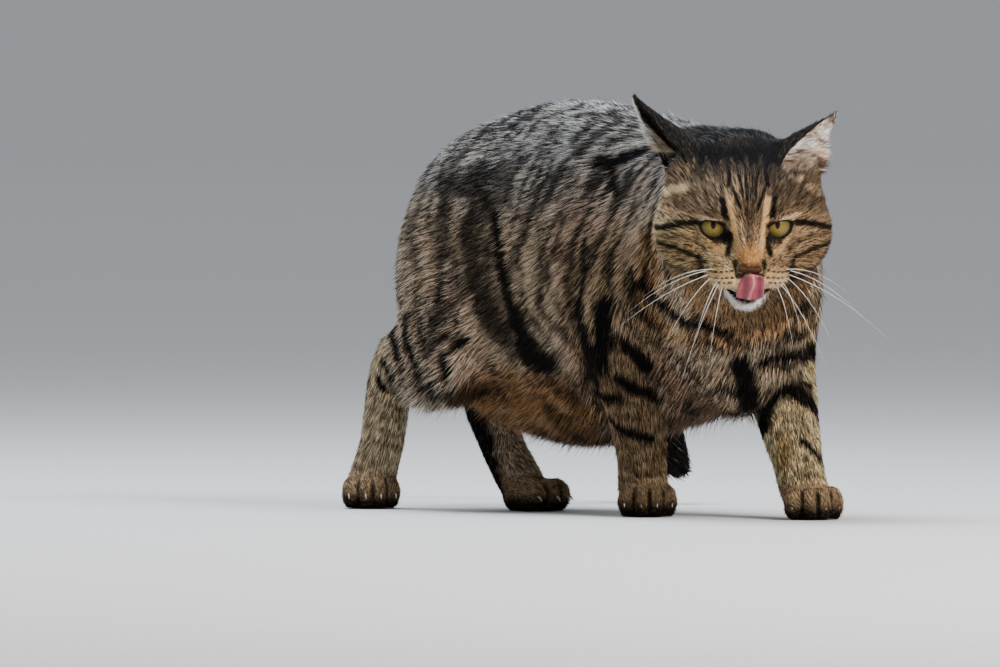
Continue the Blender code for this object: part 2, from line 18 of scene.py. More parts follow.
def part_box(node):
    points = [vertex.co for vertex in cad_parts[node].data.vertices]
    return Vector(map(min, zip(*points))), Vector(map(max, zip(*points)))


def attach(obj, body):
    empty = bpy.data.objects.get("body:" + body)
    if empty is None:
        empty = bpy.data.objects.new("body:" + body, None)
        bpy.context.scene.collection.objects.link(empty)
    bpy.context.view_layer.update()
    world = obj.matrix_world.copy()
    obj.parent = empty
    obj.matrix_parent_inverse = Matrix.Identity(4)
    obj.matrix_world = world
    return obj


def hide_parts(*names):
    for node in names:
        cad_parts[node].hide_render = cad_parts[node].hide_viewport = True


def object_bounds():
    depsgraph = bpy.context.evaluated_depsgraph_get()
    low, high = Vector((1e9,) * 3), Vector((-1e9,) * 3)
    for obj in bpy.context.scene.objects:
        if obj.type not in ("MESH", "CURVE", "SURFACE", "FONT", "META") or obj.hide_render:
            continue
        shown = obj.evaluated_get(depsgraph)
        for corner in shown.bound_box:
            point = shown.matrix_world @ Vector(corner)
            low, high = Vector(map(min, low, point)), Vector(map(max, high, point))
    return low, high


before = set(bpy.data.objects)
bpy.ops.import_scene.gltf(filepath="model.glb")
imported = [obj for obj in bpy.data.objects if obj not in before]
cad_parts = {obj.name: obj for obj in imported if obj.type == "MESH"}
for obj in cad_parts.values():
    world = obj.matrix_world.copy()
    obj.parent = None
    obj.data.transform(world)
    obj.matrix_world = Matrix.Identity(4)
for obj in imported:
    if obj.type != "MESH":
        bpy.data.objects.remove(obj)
cad_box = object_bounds()
MM = 0.001
LEFT, RIGHT = 1, -1


def fade(value, low=0.0, high=1.0):
    """0 below low, 1 above high, and a soft rise between them."""
    t = np.clip((value - low) / (high - low), 0, 1)
    return t * t * (3 - 2 * t)


def unit(vectors):
    return vectors / np.maximum(np.linalg.norm(vectors, axis=-1, keepdims=True), 1e-9)


def span(vectors):
    return np.linalg.norm(vectors, axis=-1)


def mix(first, second, share):
    return first + (second - first) * share


def strongest(*masks):
    """The highest of several masks at each point."""
    return reduce(np.maximum, masks)


def read_off(values, rows):
    """Looks values up in a short table, with straight lines between its rows of a value and a result."""
    return np.interp(values, *zip(*rows))


def middle(name):
    """The middle of a CAD node's box, in millimetres."""
    low, high = np.array(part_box(name)) / MM
    return (low + high) / 2


def linked(name, data):
    """A new object that holds the data, in the scene."""
    made = bpy.data.objects.new(name, data)
    bpy.context.scene.collection.objects.link(made)
    return made


def smooth(mesh):
    mesh.polygons.foreach_set("use_smooth", np.ones(len(mesh.polygons), bool))


def cells(rings, spokes):
    """The corners of each cell of a closed grid: two side by side on a ring, and the two beyond them."""
    for ring in range(rings - 1):
        for spoke in range(spokes):
            first, second = ring * spokes + spoke, ring * spokes + (spoke + 1) % spokes
            yield first, second, first + spokes, second + spokes


def noise(points, size, seed):
    """Smooth random values from 0 to 1, with lumps of about the given size in millimetres."""
    table = np.random.default_rng(seed).random(4096)
    cell = np.floor(points / size).astype(np.int64)
    part = points / size - cell
    part = part * part * (3 - 2 * part)
    total = np.zeros(len(points))
    for corner in np.ndindex(2, 2, 2):
        at = cell + corner
        key = (at[:, 0] * 73856093 ^ at[:, 1] * 19349663 ^ at[:, 2] * 83492791) & 4095
        total += table[key] * np.prod(np.where(corner, part, 1 - part), axis=1)
    return total


print("frame", len(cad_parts), "nodes, box", [list(corner) for corner in cad_box])

# %% [markdown]
# ## The camera, the floor and the light
# A long lens stands far off and low, as someone crouching on the road would hold it, so the cat shows
# with hardly any perspective. The floor is plain and pale, and one broad light overhead with a weaker one
# beside the camera gives the soft shade of an open sky.

# %% Camera
CAMERA_BACK, CAMERA_SIDE, CAMERA_HEIGHT = 9.0142, -0.0965, 0.267
CAMERA_YAW = math.radians(50.36)
CAMERA_PITCH = math.radians(-0.981)
CAMERA_LENS = 515.16

camera_data = bpy.data.cameras.new("camera")
camera_data.lens = CAMERA_LENS
camera_data.sensor_width = 36
camera_data.clip_end = 400
camera = linked("camera", camera_data)
ahead = Vector((math.cos(CAMERA_YAW), math.sin(CAMERA_YAW), 0))
aside = Vector((math.sin(CAMERA_YAW), -math.cos(CAMERA_YAW), 0))
camera.location = -ahead * CAMERA_BACK + aside * CAMERA_SIDE + Vector((0, 0, CAMERA_HEIGHT))
camera.rotation_euler = (math.pi / 2 + CAMERA_PITCH, 0, CAMERA_YAW - math.pi / 2)
bpy.context.scene.camera = camera
print("camera at", [round(value, 3) for value in camera.location])

# %% Materials, all made in one way


def new_material(name):
    """A material, its node tree and its shader."""
    material = bpy.data.materials.new(name)
    material.use_nodes = True
    return material, material.node_tree, material.node_tree.nodes["Principled BSDF"]


def fill(tree, socket, value):
    """Fills a node's socket with a plain value or with another node's output."""
    if isinstance(value, bpy.types.NodeSocket):
        tree.links.new(value, socket)
    else:
        socket.default_value = value


def add_node(tree, kind, links=(), **values):
    """Adds a node, sets its plain values and fills its sockets, with a value or another node's output."""
    node = tree.nodes.new("ShaderNode" + kind)
    for name, value in values.items():
        setattr(node, name, value)
    for name, value in dict(links).items():
        fill(tree, node.inputs[name], value)
    return node


def ramp(tree, factor, *stops):
    """A colour ramp from stops of a place and a colour."""
    node = add_node(tree, "ValToRGB", {"Fac": factor})
    elements = node.color_ramp.elements
    while len(elements) < len(stops):
        elements.new(0.5)
    for element, (place, colour) in zip(elements, stops):
        element.position = place
        element.color = (*colour, 1)
    return node.outputs["Color"]


def blend_colour(tree, first, second, factor, mode="MIX"):
    node = add_node(tree, "Mix", {0: factor, 6: first, 7: second}, data_type="RGBA", blend_type=mode)
    return node.outputs[2]


def finish(name, scale, stops, detail=2.0, painted=True, stretch=None, relief=None, **sockets):
    """A material whose tone follows a noise between two stops, over the painted colours unless it is plain.

    relief is a bump's distance and the scale of its cells, or None for the noise itself. A pair of values
    for the roughness lets it vary with the noise, and the other sockets take plain values.
    """
    material, tree, shader = new_material(name)
    place = add_node(tree, "TexCoord").outputs["Object"]
    over = place
    if stretch:
        over = add_node(tree, "Mapping", {"Vector": place, "Scale": stretch}).outputs["Vector"]
    grain = add_node(tree, "TexNoise", {"Vector": over, "Scale": scale, "Detail": detail}).outputs["Fac"]
    colour = ramp(tree, grain, *stops)
    if painted:
        pelage = add_node(tree, "Attribute", attribute_name="pelage", attribute_type="GEOMETRY")
        colour = blend_colour(tree, pelage.outputs["Color"], colour, 1.0, "MULTIPLY")
    tree.links.new(colour, shader.inputs["Base Color"])
    if relief:
        distance, cell_scale = relief
        height = grain
        if cell_scale:
            pebbles = add_node(tree, "TexVoronoi", {"Vector": place, "Scale": cell_scale})
            height = pebbles.outputs["Distance"]
        bump = add_node(tree, "Bump", {"Height": height, "Distance": distance, "Strength": 0.6})
        tree.links.new(bump.outputs["Normal"], shader.inputs["Normal"])
    for word, value in sockets.items():
        if word == "Roughness" and isinstance(value, tuple):
            low, high = value
            varied = add_node(tree, "MapRange", {"Value": grain, "To Min": low, "To Max": high})
            value = varied.outputs["Result"]
        fill(tree, shader.inputs[word.replace("_", " ")], value)
    return material


def dress(obj, material):
    """Gives an object this material and no other."""
    obj.data.materials.clear()
    obj.data.materials.append(material)


floor_finish = finish(
    "pale_floor", 260.0, ((0.35, (0.50, 0.50, 0.505)), (0.7, (0.57, 0.57, 0.575))), detail=3.0,
    painted=False, Roughness=0.9, Specular_IOR_Level=0.2,
)
print("floor finish", [node.name for node in floor_finish.node_tree.nodes])

# %% Floor, world and lights
FLOOR_RADIUS, RIM_RADIUS, RIM_HEIGHT = 40, 75, 45
RIM_RINGS, FLOOR_SPOKES = 14, 96
LIGHTS_AIM = Vector((0, 0, 0.13))


def studio_floor():
    """A flat disc whose far rim curves up, so that no horizon shows behind the cat."""
    turns = np.arange(FLOOR_SPOKES) * 2 * np.pi / FLOOR_SPOKES
    rise = np.linspace(0, np.pi / 2, RIM_RINGS)
    radii = [2, 12, *(FLOOR_RADIUS + (RIM_RADIUS - FLOOR_RADIUS) * np.sin(rise))]
    heights = [0, 0, *(RIM_HEIGHT * (1 - np.cos(rise)))]
    rings = [(r * math.cos(turn), r * math.sin(turn), h) for r, h in zip(radii, heights) for turn in turns]
    faces = [tuple(range(FLOOR_SPOKES))]
    faces += [(b, a, c, d) for a, b, c, d in cells(len(radii), FLOOR_SPOKES)]
    mesh = bpy.data.meshes.new("floor")
    mesh.from_pydata(rings, [], faces)
    smooth(mesh)
    return linked("floor", mesh)


floor = studio_floor()
dress(floor, floor_finish)

world = bpy.data.worlds.new("studio")
world.use_nodes = True
backdrop = world.node_tree.nodes["Background"]
backdrop.inputs["Color"].default_value = (0.90, 0.94, 1.0, 1)
backdrop.inputs["Strength"].default_value = 0.85
bpy.context.scene.world = world


def softbox(name, place, size, power, colour):
    """A square light that faces the cat."""
    data = bpy.data.lights.new(name, "AREA")
    data.size = size
    data.energy = power
    data.color = colour
    light = linked(name, data)
    light.location = place
    light.rotation_euler = (LIGHTS_AIM - light.location).to_track_quat("-Z", "Y").to_euler()


softbox("key", -ahead * 2.1 + aside * 1.7 + Vector((0, 0, 1.5)), 1.3, 165, (1.0, 0.94, 0.86))
softbox("overhead", ahead * 0.3 - aside * 0.7 + Vector((0, 0, 2.4)), 1.6, 110, (0.86, 0.93, 1.0))
print("lights", [light.name for light in bpy.data.lights])

# %% [markdown]
# ## The head's own frame
# Most of the face is easier to place in the head's own space: x to the cat's left, y back and z up, from
# the middle between its eyeballs. The two eye nodes give that middle and the way the head is turned; the
# dip of the head is the one number that they can't give.

# %% Head space
HEAD_PITCH = math.radians(15)
EYE_RADIUS = 11.0
EYE_SPLAY = math.radians(2)
EYE_SLANT = math.radians(12)
EYE_OPENING = (9.9, 5.2, 7.0)  # half width, height above and depth below the line between the corners
OUT_OF_EYE = 9.0  # what counts as the reach of a point behind the eye
EYE_LIFT = 2.4  # the head's space starts this far under the middle of the eye nodes
EYES_INWARD = {LEFT: 2.6, RIGHT: 1.3}

eye_middles = {LEFT: middle("eye_left"), RIGHT: middle("eye_right")}
head_origin = (eye_middles[LEFT] + eye_middles[RIGHT]) / 2
across = unit(eye_middles[LEFT] - eye_middles[RIGHT])
head_turn = math.atan2(across[1], across[0])
head_axes = np.array(Matrix.Rotation(head_turn, 3, "Z") @ Matrix.Rotation(HEAD_PITCH, 3, "X"))
head_origin = head_origin - head_axes @ np.array((0, 0, EYE_LIFT))
for side, shift in EYES_INWARD.items():
    eye_middles[side] = eye_middles[side] - across * side * shift


def to_head(points):
    return (points - head_origin) @ head_axes


def from_head(points):
    return np.asarray(points, float) @ head_axes.T + head_origin


def eye_axes(side):
    """The eye's axes as columns: x along its slanted opening, -y straight out and z up the opening."""
    splay = Matrix.Rotation(side * EYE_SPLAY, 3, "Z")
    slant = Matrix.Rotation(-side * EYE_SLANT, 3, "Y")
    return head_axes @ np.array(splay @ slant)


def eye_places(points, side):
    """Where points lie in the eye's frame, and how far out of its opening: 1 is the lid's edge."""
    local = (points - eye_middles[side]) @ eye_axes(side)
    half_width, above, below = EYE_OPENING
    along, back, up = local.T
    reach = np.hypot(along / half_width, up / np.where(up > 0, above, below))
    return local, np.where(back < 0, reach, OUT_OF_EYE)


print("head at", head_origin.round(1), "turned", round(math.degrees(head_turn), 1), "degrees")

# %% [markdown]
# ## The skin
# A cat's skin is one sheet, but the CAD flesh comes in parts with thin cuts between them. A voxel remesh
# fuses the parts into one closed surface, and rounds of averaging melt the facets away. Balls fill the
# eye sockets first, so that the lids can be shaped from whole skin, and the surface is kept finest on the
# face.

# %% Fuse the flesh
BARE = ("eye", "claw", "nose", "tongue")
flesh = sorted(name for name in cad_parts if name.split("_")[0] not in BARE)
VOXEL = 1.35
OVERLAP = 0.4
LID_BALL = 12.4
CHIN_FILL = ((0.5, -13, -35.4), (17, 18, 3))  # the middle and radii of the ball that joins jaw and lips


def grown_nodes(names, growth):
    """Copies of CAD nodes as one merged bmesh in metres, swollen a little so that neighbours overlap."""
    bm = bmesh.new()
    for name in names:
        bm.from_mesh(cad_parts[name].data)
    bmesh.ops.remove_doubles(bm, verts=bm.verts, dist=1e-6)
    bm.normal_update()
    for vertex, normal in [(vertex, vertex.normal.copy()) for vertex in bm.verts]:
        vertex.co += normal * growth * MM
    return bm


def applied(obj):
    """Turns an object's modifiers into plain mesh."""
    graph = bpy.context.evaluated_depsgraph_get()
    mesh = bpy.data.meshes.new_from_object(obj.evaluated_get(graph))
    obj.modifiers.clear()
    obj.data = mesh
    return obj


def fused(bm, name, voxel):
    mesh = bpy.data.meshes.new(name)
    bm.to_mesh(mesh)
    bm.free()
    made = linked(name, mesh)
    remesh = made.modifiers.new("fuse", "REMESH")
    remesh.mode = "VOXEL"
    remesh.voxel_size = voxel * MM
    return applied(made)


def add_ball(bm, centre, radii):
    shape = Matrix.Translation(Vector(centre) * MM) @ Matrix(head_axes).to_4x4()
    shape = shape @ Matrix.Diagonal((*(np.array(radii) * MM), 1))
    bmesh.ops.create_icosphere(bm, subdivisions=4, radius=1, matrix=shape)


flesh_bm = grown_nodes([*flesh, "nose", "tongue"], OVERLAP)
for side in (LEFT, RIGHT):
    add_ball(flesh_bm, eye_middles[side], (LID_BALL,) * 3)
chin_middle, chin_radii = CHIN_FILL
add_ball(flesh_bm, from_head(chin_middle), chin_radii)
skin = fused(flesh_bm, "skin", VOXEL)
print("fused skin", len(skin.data.vertices), "vertices")

# %% Which CAD part each point of the skin lies on


def numbers_of(items, field, width, kind=float):
    """One field of all of a mesh's items, as rows of the given width."""
    values = np.empty(len(items) * width, kind)
    items.foreach_get(field, values)
    return values.reshape(-1, width)


def points_of(mesh):
    return numbers_of(mesh.vertices, "co", 3) / MM


def edges_of(mesh):
    return numbers_of(mesh.edges, "vertices", 2, int)


def put_points(mesh, points):
    mesh.vertices.foreach_set("co", (points * MM).astype(np.float32).ravel())
    mesh.update()


def flesh_tree():
    """A search tree of the CAD flesh, and the part that each of its triangles belongs to."""
    corners, triangles, owners = [], [], []
    for number, name in enumerate(flesh):
        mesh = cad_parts[name].data
        start = len(corners)
        corners.extend(vertex.co / MM for vertex in mesh.vertices)
        triangles.extend([start + index for index in polygon.vertices] for polygon in mesh.polygons)
        owners.extend([number] * len(mesh.polygons))
    return BVHTree.FromPolygons(corners, triangles), np.array(owners)


flesh_search, flesh_owner = flesh_tree()


def parts_at(points):
    """The number of the nearest CAD part, for each point."""
    return flesh_owner[[flesh_search.find_nearest(point)[2] for point in points.tolist()]]


def relaxed(values, edges, rounds, strength=0.5):
    """Averages values with their neighbours' along the edges, round after round. The strength may vary."""
    count = len(values)
    flat = values.reshape(count, -1).copy()
    first, second = edges[:, 0], edges[:, 1]
    share = 1 / np.maximum(np.bincount(edges.ravel(), minlength=count), 1)
    strength = np.broadcast_to(strength, count)
    for _ in range(rounds):
        for column in range(flat.shape[1]):
            line = flat[:, column]
            total = np.bincount(first, line[second], count) + np.bincount(second, line[first], count)
            flat[:, column] += strength * (total * share - line)
    return flat.reshape(values.shape)


def in_part(parts, *starts):
    """True for the points whose part's name starts with one of these words."""
    return np.isin(parts, [number for number, name in enumerate(flesh) if name.startswith(starts)])


print("search tree of", len(flesh_owner), "triangles of", len(flesh), "parts")

# %% Melt the facets and thin the plain parts
FACE_REACH = 62  # within this of the face the skin is not thinned
FACE_MIDDLE = np.array((0, -8, -8))
SKIN_FACES = 140_000
CRISP, FIRM, SOFT = 0.12, 0.28, 0.5  # how far each round melts the ears and paws, the head, and the rest
MELT_ROUNDS, PLAIN_ROUNDS, BLEND_ROUNDS = 26, 60, 12

points = points_of(skin.data)
edges = edges_of(skin.data)
parts = parts_at(points)
from_face = span(to_head(points) - FACE_MIDDLE)
softness = np.where(in_part(parts, "head"), FIRM, np.where(in_part(parts, "ear", "paw"), CRISP, SOFT))
plain = np.where(in_part(parts, "neck", "chest", "belly", "rump", "upper"), SOFT, 0.0)
for strength, rounds in ((softness, MELT_ROUNDS), (plain, PLAIN_ROUNDS)):
    points = relaxed(points, edges, rounds, relaxed(strength, edges, BLEND_ROUNDS))
put_points(skin.data, points)
coarse = skin.vertex_groups.new(name="coarse")
coarse.add(np.flatnonzero(from_face > FACE_REACH).tolist(), 1.0, "REPLACE")
thin = skin.modifiers.new("thin", "DECIMATE")
thin.ratio = SKIN_FACES / (2 * len(skin.data.polygons))
thin.vertex_group = coarse.name
thin.vertex_group_factor = 0
applied(skin)
skin.vertex_groups.clear()
print("thinned skin", len(skin.data.vertices), "vertices", len(skin.data.polygons), "faces")

# %% Finer skin round the eyes, the nose and the mouth
LEG_NAMES = ("hind_left", "hind_right", "fore_left", "fore_right")


def leg_nodes(leg):
    return ["upper_leg_" + leg, "lower_leg_" + leg, "paw_" + leg]


def claw_roots(leg):
    return np.array([middle(f"claw_{leg}_{number}") for number in (1, 2, 3, 4)])


# The middle of each place that is refined, its reach and how many times its edges are halved.
REFINED = [(eye_middles[LEFT], 17.0, 2), (eye_middles[RIGHT], 17.0, 2), (from_head((0, -33, -30)), 19.0, 1)]
REFINED += [(np.mean(claw_roots(leg), axis=0), 19.0, 1) for leg in LEG_NAMES]
refine_bm = bmesh.new()
refine_bm.from_mesh(skin.data)
for centre, reach, rounds in REFINED:
    centre = Vector(centre) * MM
    for _ in range(rounds):
        near = {vertex for vertex in refine_bm.verts if (vertex.co - centre).length < reach * MM}
        chosen = [edge for edge in refine_bm.edges if edge.verts[0] in near and edge.verts[1] in near]
        bmesh.ops.subdivide_edges(refine_bm, edges=chosen, cuts=1, use_grid_fill=True)
        bmesh.ops.triangulate(refine_bm, faces=[face for face in refine_bm.faces if len(face.verts) > 3])
refine_bm.to_mesh(skin.data)
refine_bm.free()
print("refined skin", len(skin.data.vertices), "vertices", len(skin.data.polygons), "faces")

# %% [markdown]
# ## How the coat grows
# Each part of a cat has its own length and thickness of hair, and its own lie: back along the trunk, down
# the legs, outwards from the nose over the face. One table holds the growth of each part, and averaging
# it along the skin makes one kind of hair pass softly into the next.

# %% The coat's growth, part by part
# Depth of the coat over the skin, then a tuft's length, width and lift in degrees, and how densely
# tufts stand.
GROWTH = {
    "head": (1.8, 5.2, 0.38, 20, 1.0),
    "ear": (0.5, 4.0, 0.40, 14, 1.6),
    "neck": (2.6, 8.5, 0.62, 19, 1.0),
    "chest": (3.0, 9.5, 0.64, 20, 1.0),
    "belly": (2.8, 8.4, 0.54, 17, 1.0),
    "rump": (2.8, 8.4, 0.54, 18, 1.0),
    "tail": (3.6, 9.5, 0.80, 14, 1.0),
    "upper": (2.6, 8.0, 0.60, 19, 1.0),
    "lower": (1.8, 6.2, 0.50, 18, 1.6),
    "paw": (1.1, 3.8, 0.40, 16, 2.6),
}

points = points_of(skin.data)
edges = edges_of(skin.data)
parts = parts_at(points)
growth = relaxed(np.array([GROWTH[name.split("_")[0]] for name in flesh])[parts], edges, 14)
depth = growth[:, 0]
print("coat depth from", depth.min().round(2), "to", depth.max().round(2), "mm")

# %% The lie of the coat
# Which way hairs point where they don't follow a bone, and the turn of each paw in degrees.
PLAIN_LIES = {
    "neck": (0, 0.62, -0.78), "chest": (0, 0.80, -0.60), "belly": (0, 0.86, -0.42),
    "rump": (0, 0.90, -0.44), "head": (0, 0, 0),
}
NOSE_SOURCE = np.array((0, -34, -12))  # where the hairs of the face stream from, in head space
PAW_TURNS = {"hind_right": -34, "hind_left": 8, "fore_right": -36, "fore_left": -30}


def part_lies():
    """Which way the hairs of each part point, before they are laid on the skin."""
    lies = dict(PLAIN_LIES)
    for leg in LEG_NAMES:
        top, low, foot = map(middle, leg_nodes(leg))
        lies["upper_leg_" + leg] = unit(unit(low - top) + (0, 0.35, 0))
        lies["lower_leg_" + leg] = unit(foot - low)
        turn = math.radians(PAW_TURNS[leg])
        lies["paw_" + leg] = (math.sin(turn), -math.cos(turn), -0.35)
    base, mid, tip = (middle("tail_" + part) for part in ("base", "middle", "tip"))
    lies.update(tail_base=unit(mid - base), tail_middle=unit(tip - base), tail_tip=unit(tip - mid))
    for side, name in ((LEFT, "ear_left"), (RIGHT, "ear_right")):
        lies[name] = unit(head_axes @ np.array((side * 0.45, 0.25, 1.0)))
    return np.array([lies[name] for name in flesh], float)


def head_lie(local):
    """On the head the hairs stream outwards and back from the top of the nose."""
    lie = unit(local - NOSE_SOURCE + (0, 6, 0))
    lie[:, 1] += 0.35
    below = fade(-local[:, 2], 18, 34)
    lie = mix(lie, np.array((0, 0.55, -0.8)), (below * 0.8)[:, None])
    return unit(lie) @ head_axes.T


def vertex_normals(points, triangles):
    """Unit normals, averaged over the triangles at each point."""
    a, b, c = (points[triangles[:, k]] for k in range(3))
    faces = np.cross(b - a, c - a)
    normals = np.zeros_like(points)
    for k in range(3):
        for axis in range(3):
            normals[:, axis] += np.bincount(triangles[:, k], faces[:, axis], len(points))
    return unit(normals)


triangles = numbers_of(skin.data.polygons, "vertices", 3, int)
normals = vertex_normals(points, triangles)
lies = part_lies()[parts]
on_head = in_part(parts, "head")
lies[on_head] = head_lie(to_head(points[on_head]))
lies = relaxed(lies, edges, 30)
calm = relaxed(np.where(in_part(parts, "head", "ear", "paw"), 0.0, 0.5), edges, 8)
lies = relaxed(lies, edges, 60, calm)
print("growth and lie set for", len(points), "points")

# %% The clefts between the toes


def toe_gaps(places, leg):
    """1 in the middle of the clefts between a paw's toes, and 0 away from them."""
    roots = claw_roots(leg)
    across_paw = unit((roots[3] - roots[0]) * (1, 1, 0))
    away = places - roots.mean(0)
    side_way, ahead_way = away @ across_paw, away @ np.cross(across_paw, (0, 0, 1))
    toes = (roots - roots.mean(0)) @ across_paw
    gap = np.zeros(len(places))
    for cleft in (toes[1:] + toes[:-1]) / 2:
        line = cleft * (1 + 0.016 * np.clip(ahead_way, -20, 0))
        gap = np.maximum(gap, np.exp(-((side_way - line) ** 2)))
    gap = gap * fade(ahead_way, -12, -7)
    height = places[:, 2]
    return np.where(np.abs(side_way) < 24, gap * fade(height, 1, 5) * fade(-height, -21, -15), 0)


def all_toe_gaps(places, parts):
    """The clefts of all four paws, each on its own paw only."""
    masks = (np.where(in_part(parts, "paw_" + leg), toe_gaps(places, leg), 0) for leg in LEG_NAMES)
    return strongest(*masks)


print("skin points in toe clefts", int((all_toe_gaps(points, parts) > 0.5).sum()))

# %% [markdown]
# ## Lids, mouth and folds
# The skin sinks by the coat's depth. Round each eye it is then drawn onto a ball a little bigger than the
# eye, so that the lids wrap it, and inside the almond of the opening it drops behind the eyeball. The
# mouth is a dark groove between the upper lips and the chin.

# %% Sink the skin, then shape the lids
LID_THICKNESS = (1.0, 1.7)  # below and above the eye
LID_EDGE = 0.10
LID_REACH, LID_SPREAD = 21, 1.0
BROW_FOLD = 0.7  # how far the crease above the lid stands out
BEHIND_EYE = -2.6
TOE_CLEFT = 2.2
# The middle of the loose skin before the right knee, how far the fold spreads, and how it moves the skin.
STIFLE_FOLD, FOLD_SPREAD, FOLD_DROP = np.array((-104, 106, 76)), 12, np.array((0, 0, 8.5))
# The right ear's outer edge: its height and how far across it stands, in head space.
EAR_EDGE = ((30, -47), (38, -49), (43, -53), (49, -57.5), (56, -61.5), (63, -65), (72, -69))
LEFT_EDGE_IN = 3.4
DROOP = head_axes[:, 0] * 0.8 - head_axes[:, 2] * 2.4  # how the left ear's tip hangs

points = points - normals * depth[:, None]
# The ears' outer edges draw in, because the hairs of their hollows stand out past them.
left, back, up = to_head(points).T
past_left = LEFT_EDGE_IN * np.exp(-(((up - 46) / 9) ** 2)) * fade(left, 36, 50)
past = np.where(in_part(parts, "ear_right"), np.minimum(left - read_off(up, EAR_EDGE), 0), 0)
past = relaxed(past + np.where(in_part(parts, "ear_left"), past_left, 0), edges, 4)
points = points - head_axes[:, 0] * past[:, None]
points = points + DROOP * np.where(in_part(parts, "ear_left"), fade(up, 48, 62), 0)[:, None]
fold = np.exp(-(span(points - STIFLE_FOLD) / FOLD_SPREAD) ** 2)
points = points - FOLD_DROP * fold[:, None]
points = points - normals * (TOE_CLEFT * all_toe_gaps(points, parts))[:, None]
print("ear edges move by up to", np.abs(past).max().round(1), "mm")
for side in (LEFT, RIGHT):
    local, reach = eye_places(points, side)
    radius = span(local)
    near = (radius < LID_REACH) & (reach < 3.2)
    lid = EYE_RADIUS + mix(*LID_THICKNESS, fade(local[:, 2], -1.5, 2.5))
    lid = lid + BROW_FOLD * fade(local[:, 2], 1, 5) * np.exp(-(((reach - 1.35) / 0.3) ** 2))
    shaped = mix(lid, radius, fade(reach, 1.25, 1.25 + LID_SPREAD))
    shaped = mix(EYE_RADIUS + BEHIND_EYE, shaped, fade(reach, 1 - LID_EDGE, 1 + LID_EDGE * 0.4))
    scale = np.where(near, shaped / np.maximum(radius, 1e-6), 1.0)
    points = eye_middles[side] + (points - eye_middles[side]) * scale[:, None]
    print("lid points", int(near.sum()))

# %% The mouth
MOUTH_HALF_WIDTH = 14.0
MOUTH_GAP = 3.4
MOUTH_DEPTH = 8.0


def mouth_openness(local):
    """1 in the middle of the gap between the lips, and 0 away from it, in head space."""
    left, back, up = local.T
    line = -37.2 + 6.4 * (np.clip(np.abs(left + 0.6), 0, 20) / MOUTH_HALF_WIDTH) ** 2
    gap = MOUTH_GAP * np.sqrt(np.clip(1 - (left / MOUTH_HALF_WIDTH) ** 2, 0, 1))
    off = np.abs(up - line) / np.maximum(gap, 0.01)
    return np.where(back < -12, 1 - fade(off, 0.55, 1.2), 0)


points = points + head_axes[:, 1] * (MOUTH_DEPTH * mouth_openness(to_head(points)))[:, None]
put_points(skin.data, points)
normals = vertex_normals(points, triangles)
smooth(skin.data)
print("skin box", points.min(0).round(1), points.max(0).round(1))

# %% [markdown]
# ## The tabby's markings
# A brown tabby's hairs are banded dark and light, which gives the peppered ground, and in the stripes
# they are dark all along. The stripes here are strokes: a few points on the body with a width at each
# end, softened and broken by noise, so that the skin and every tuft can ask the same function for their
# colour. The trunk's strokes are mirrored to the left side, and finer streaks between them come from
# noise that is stretched along the way the stripes run.

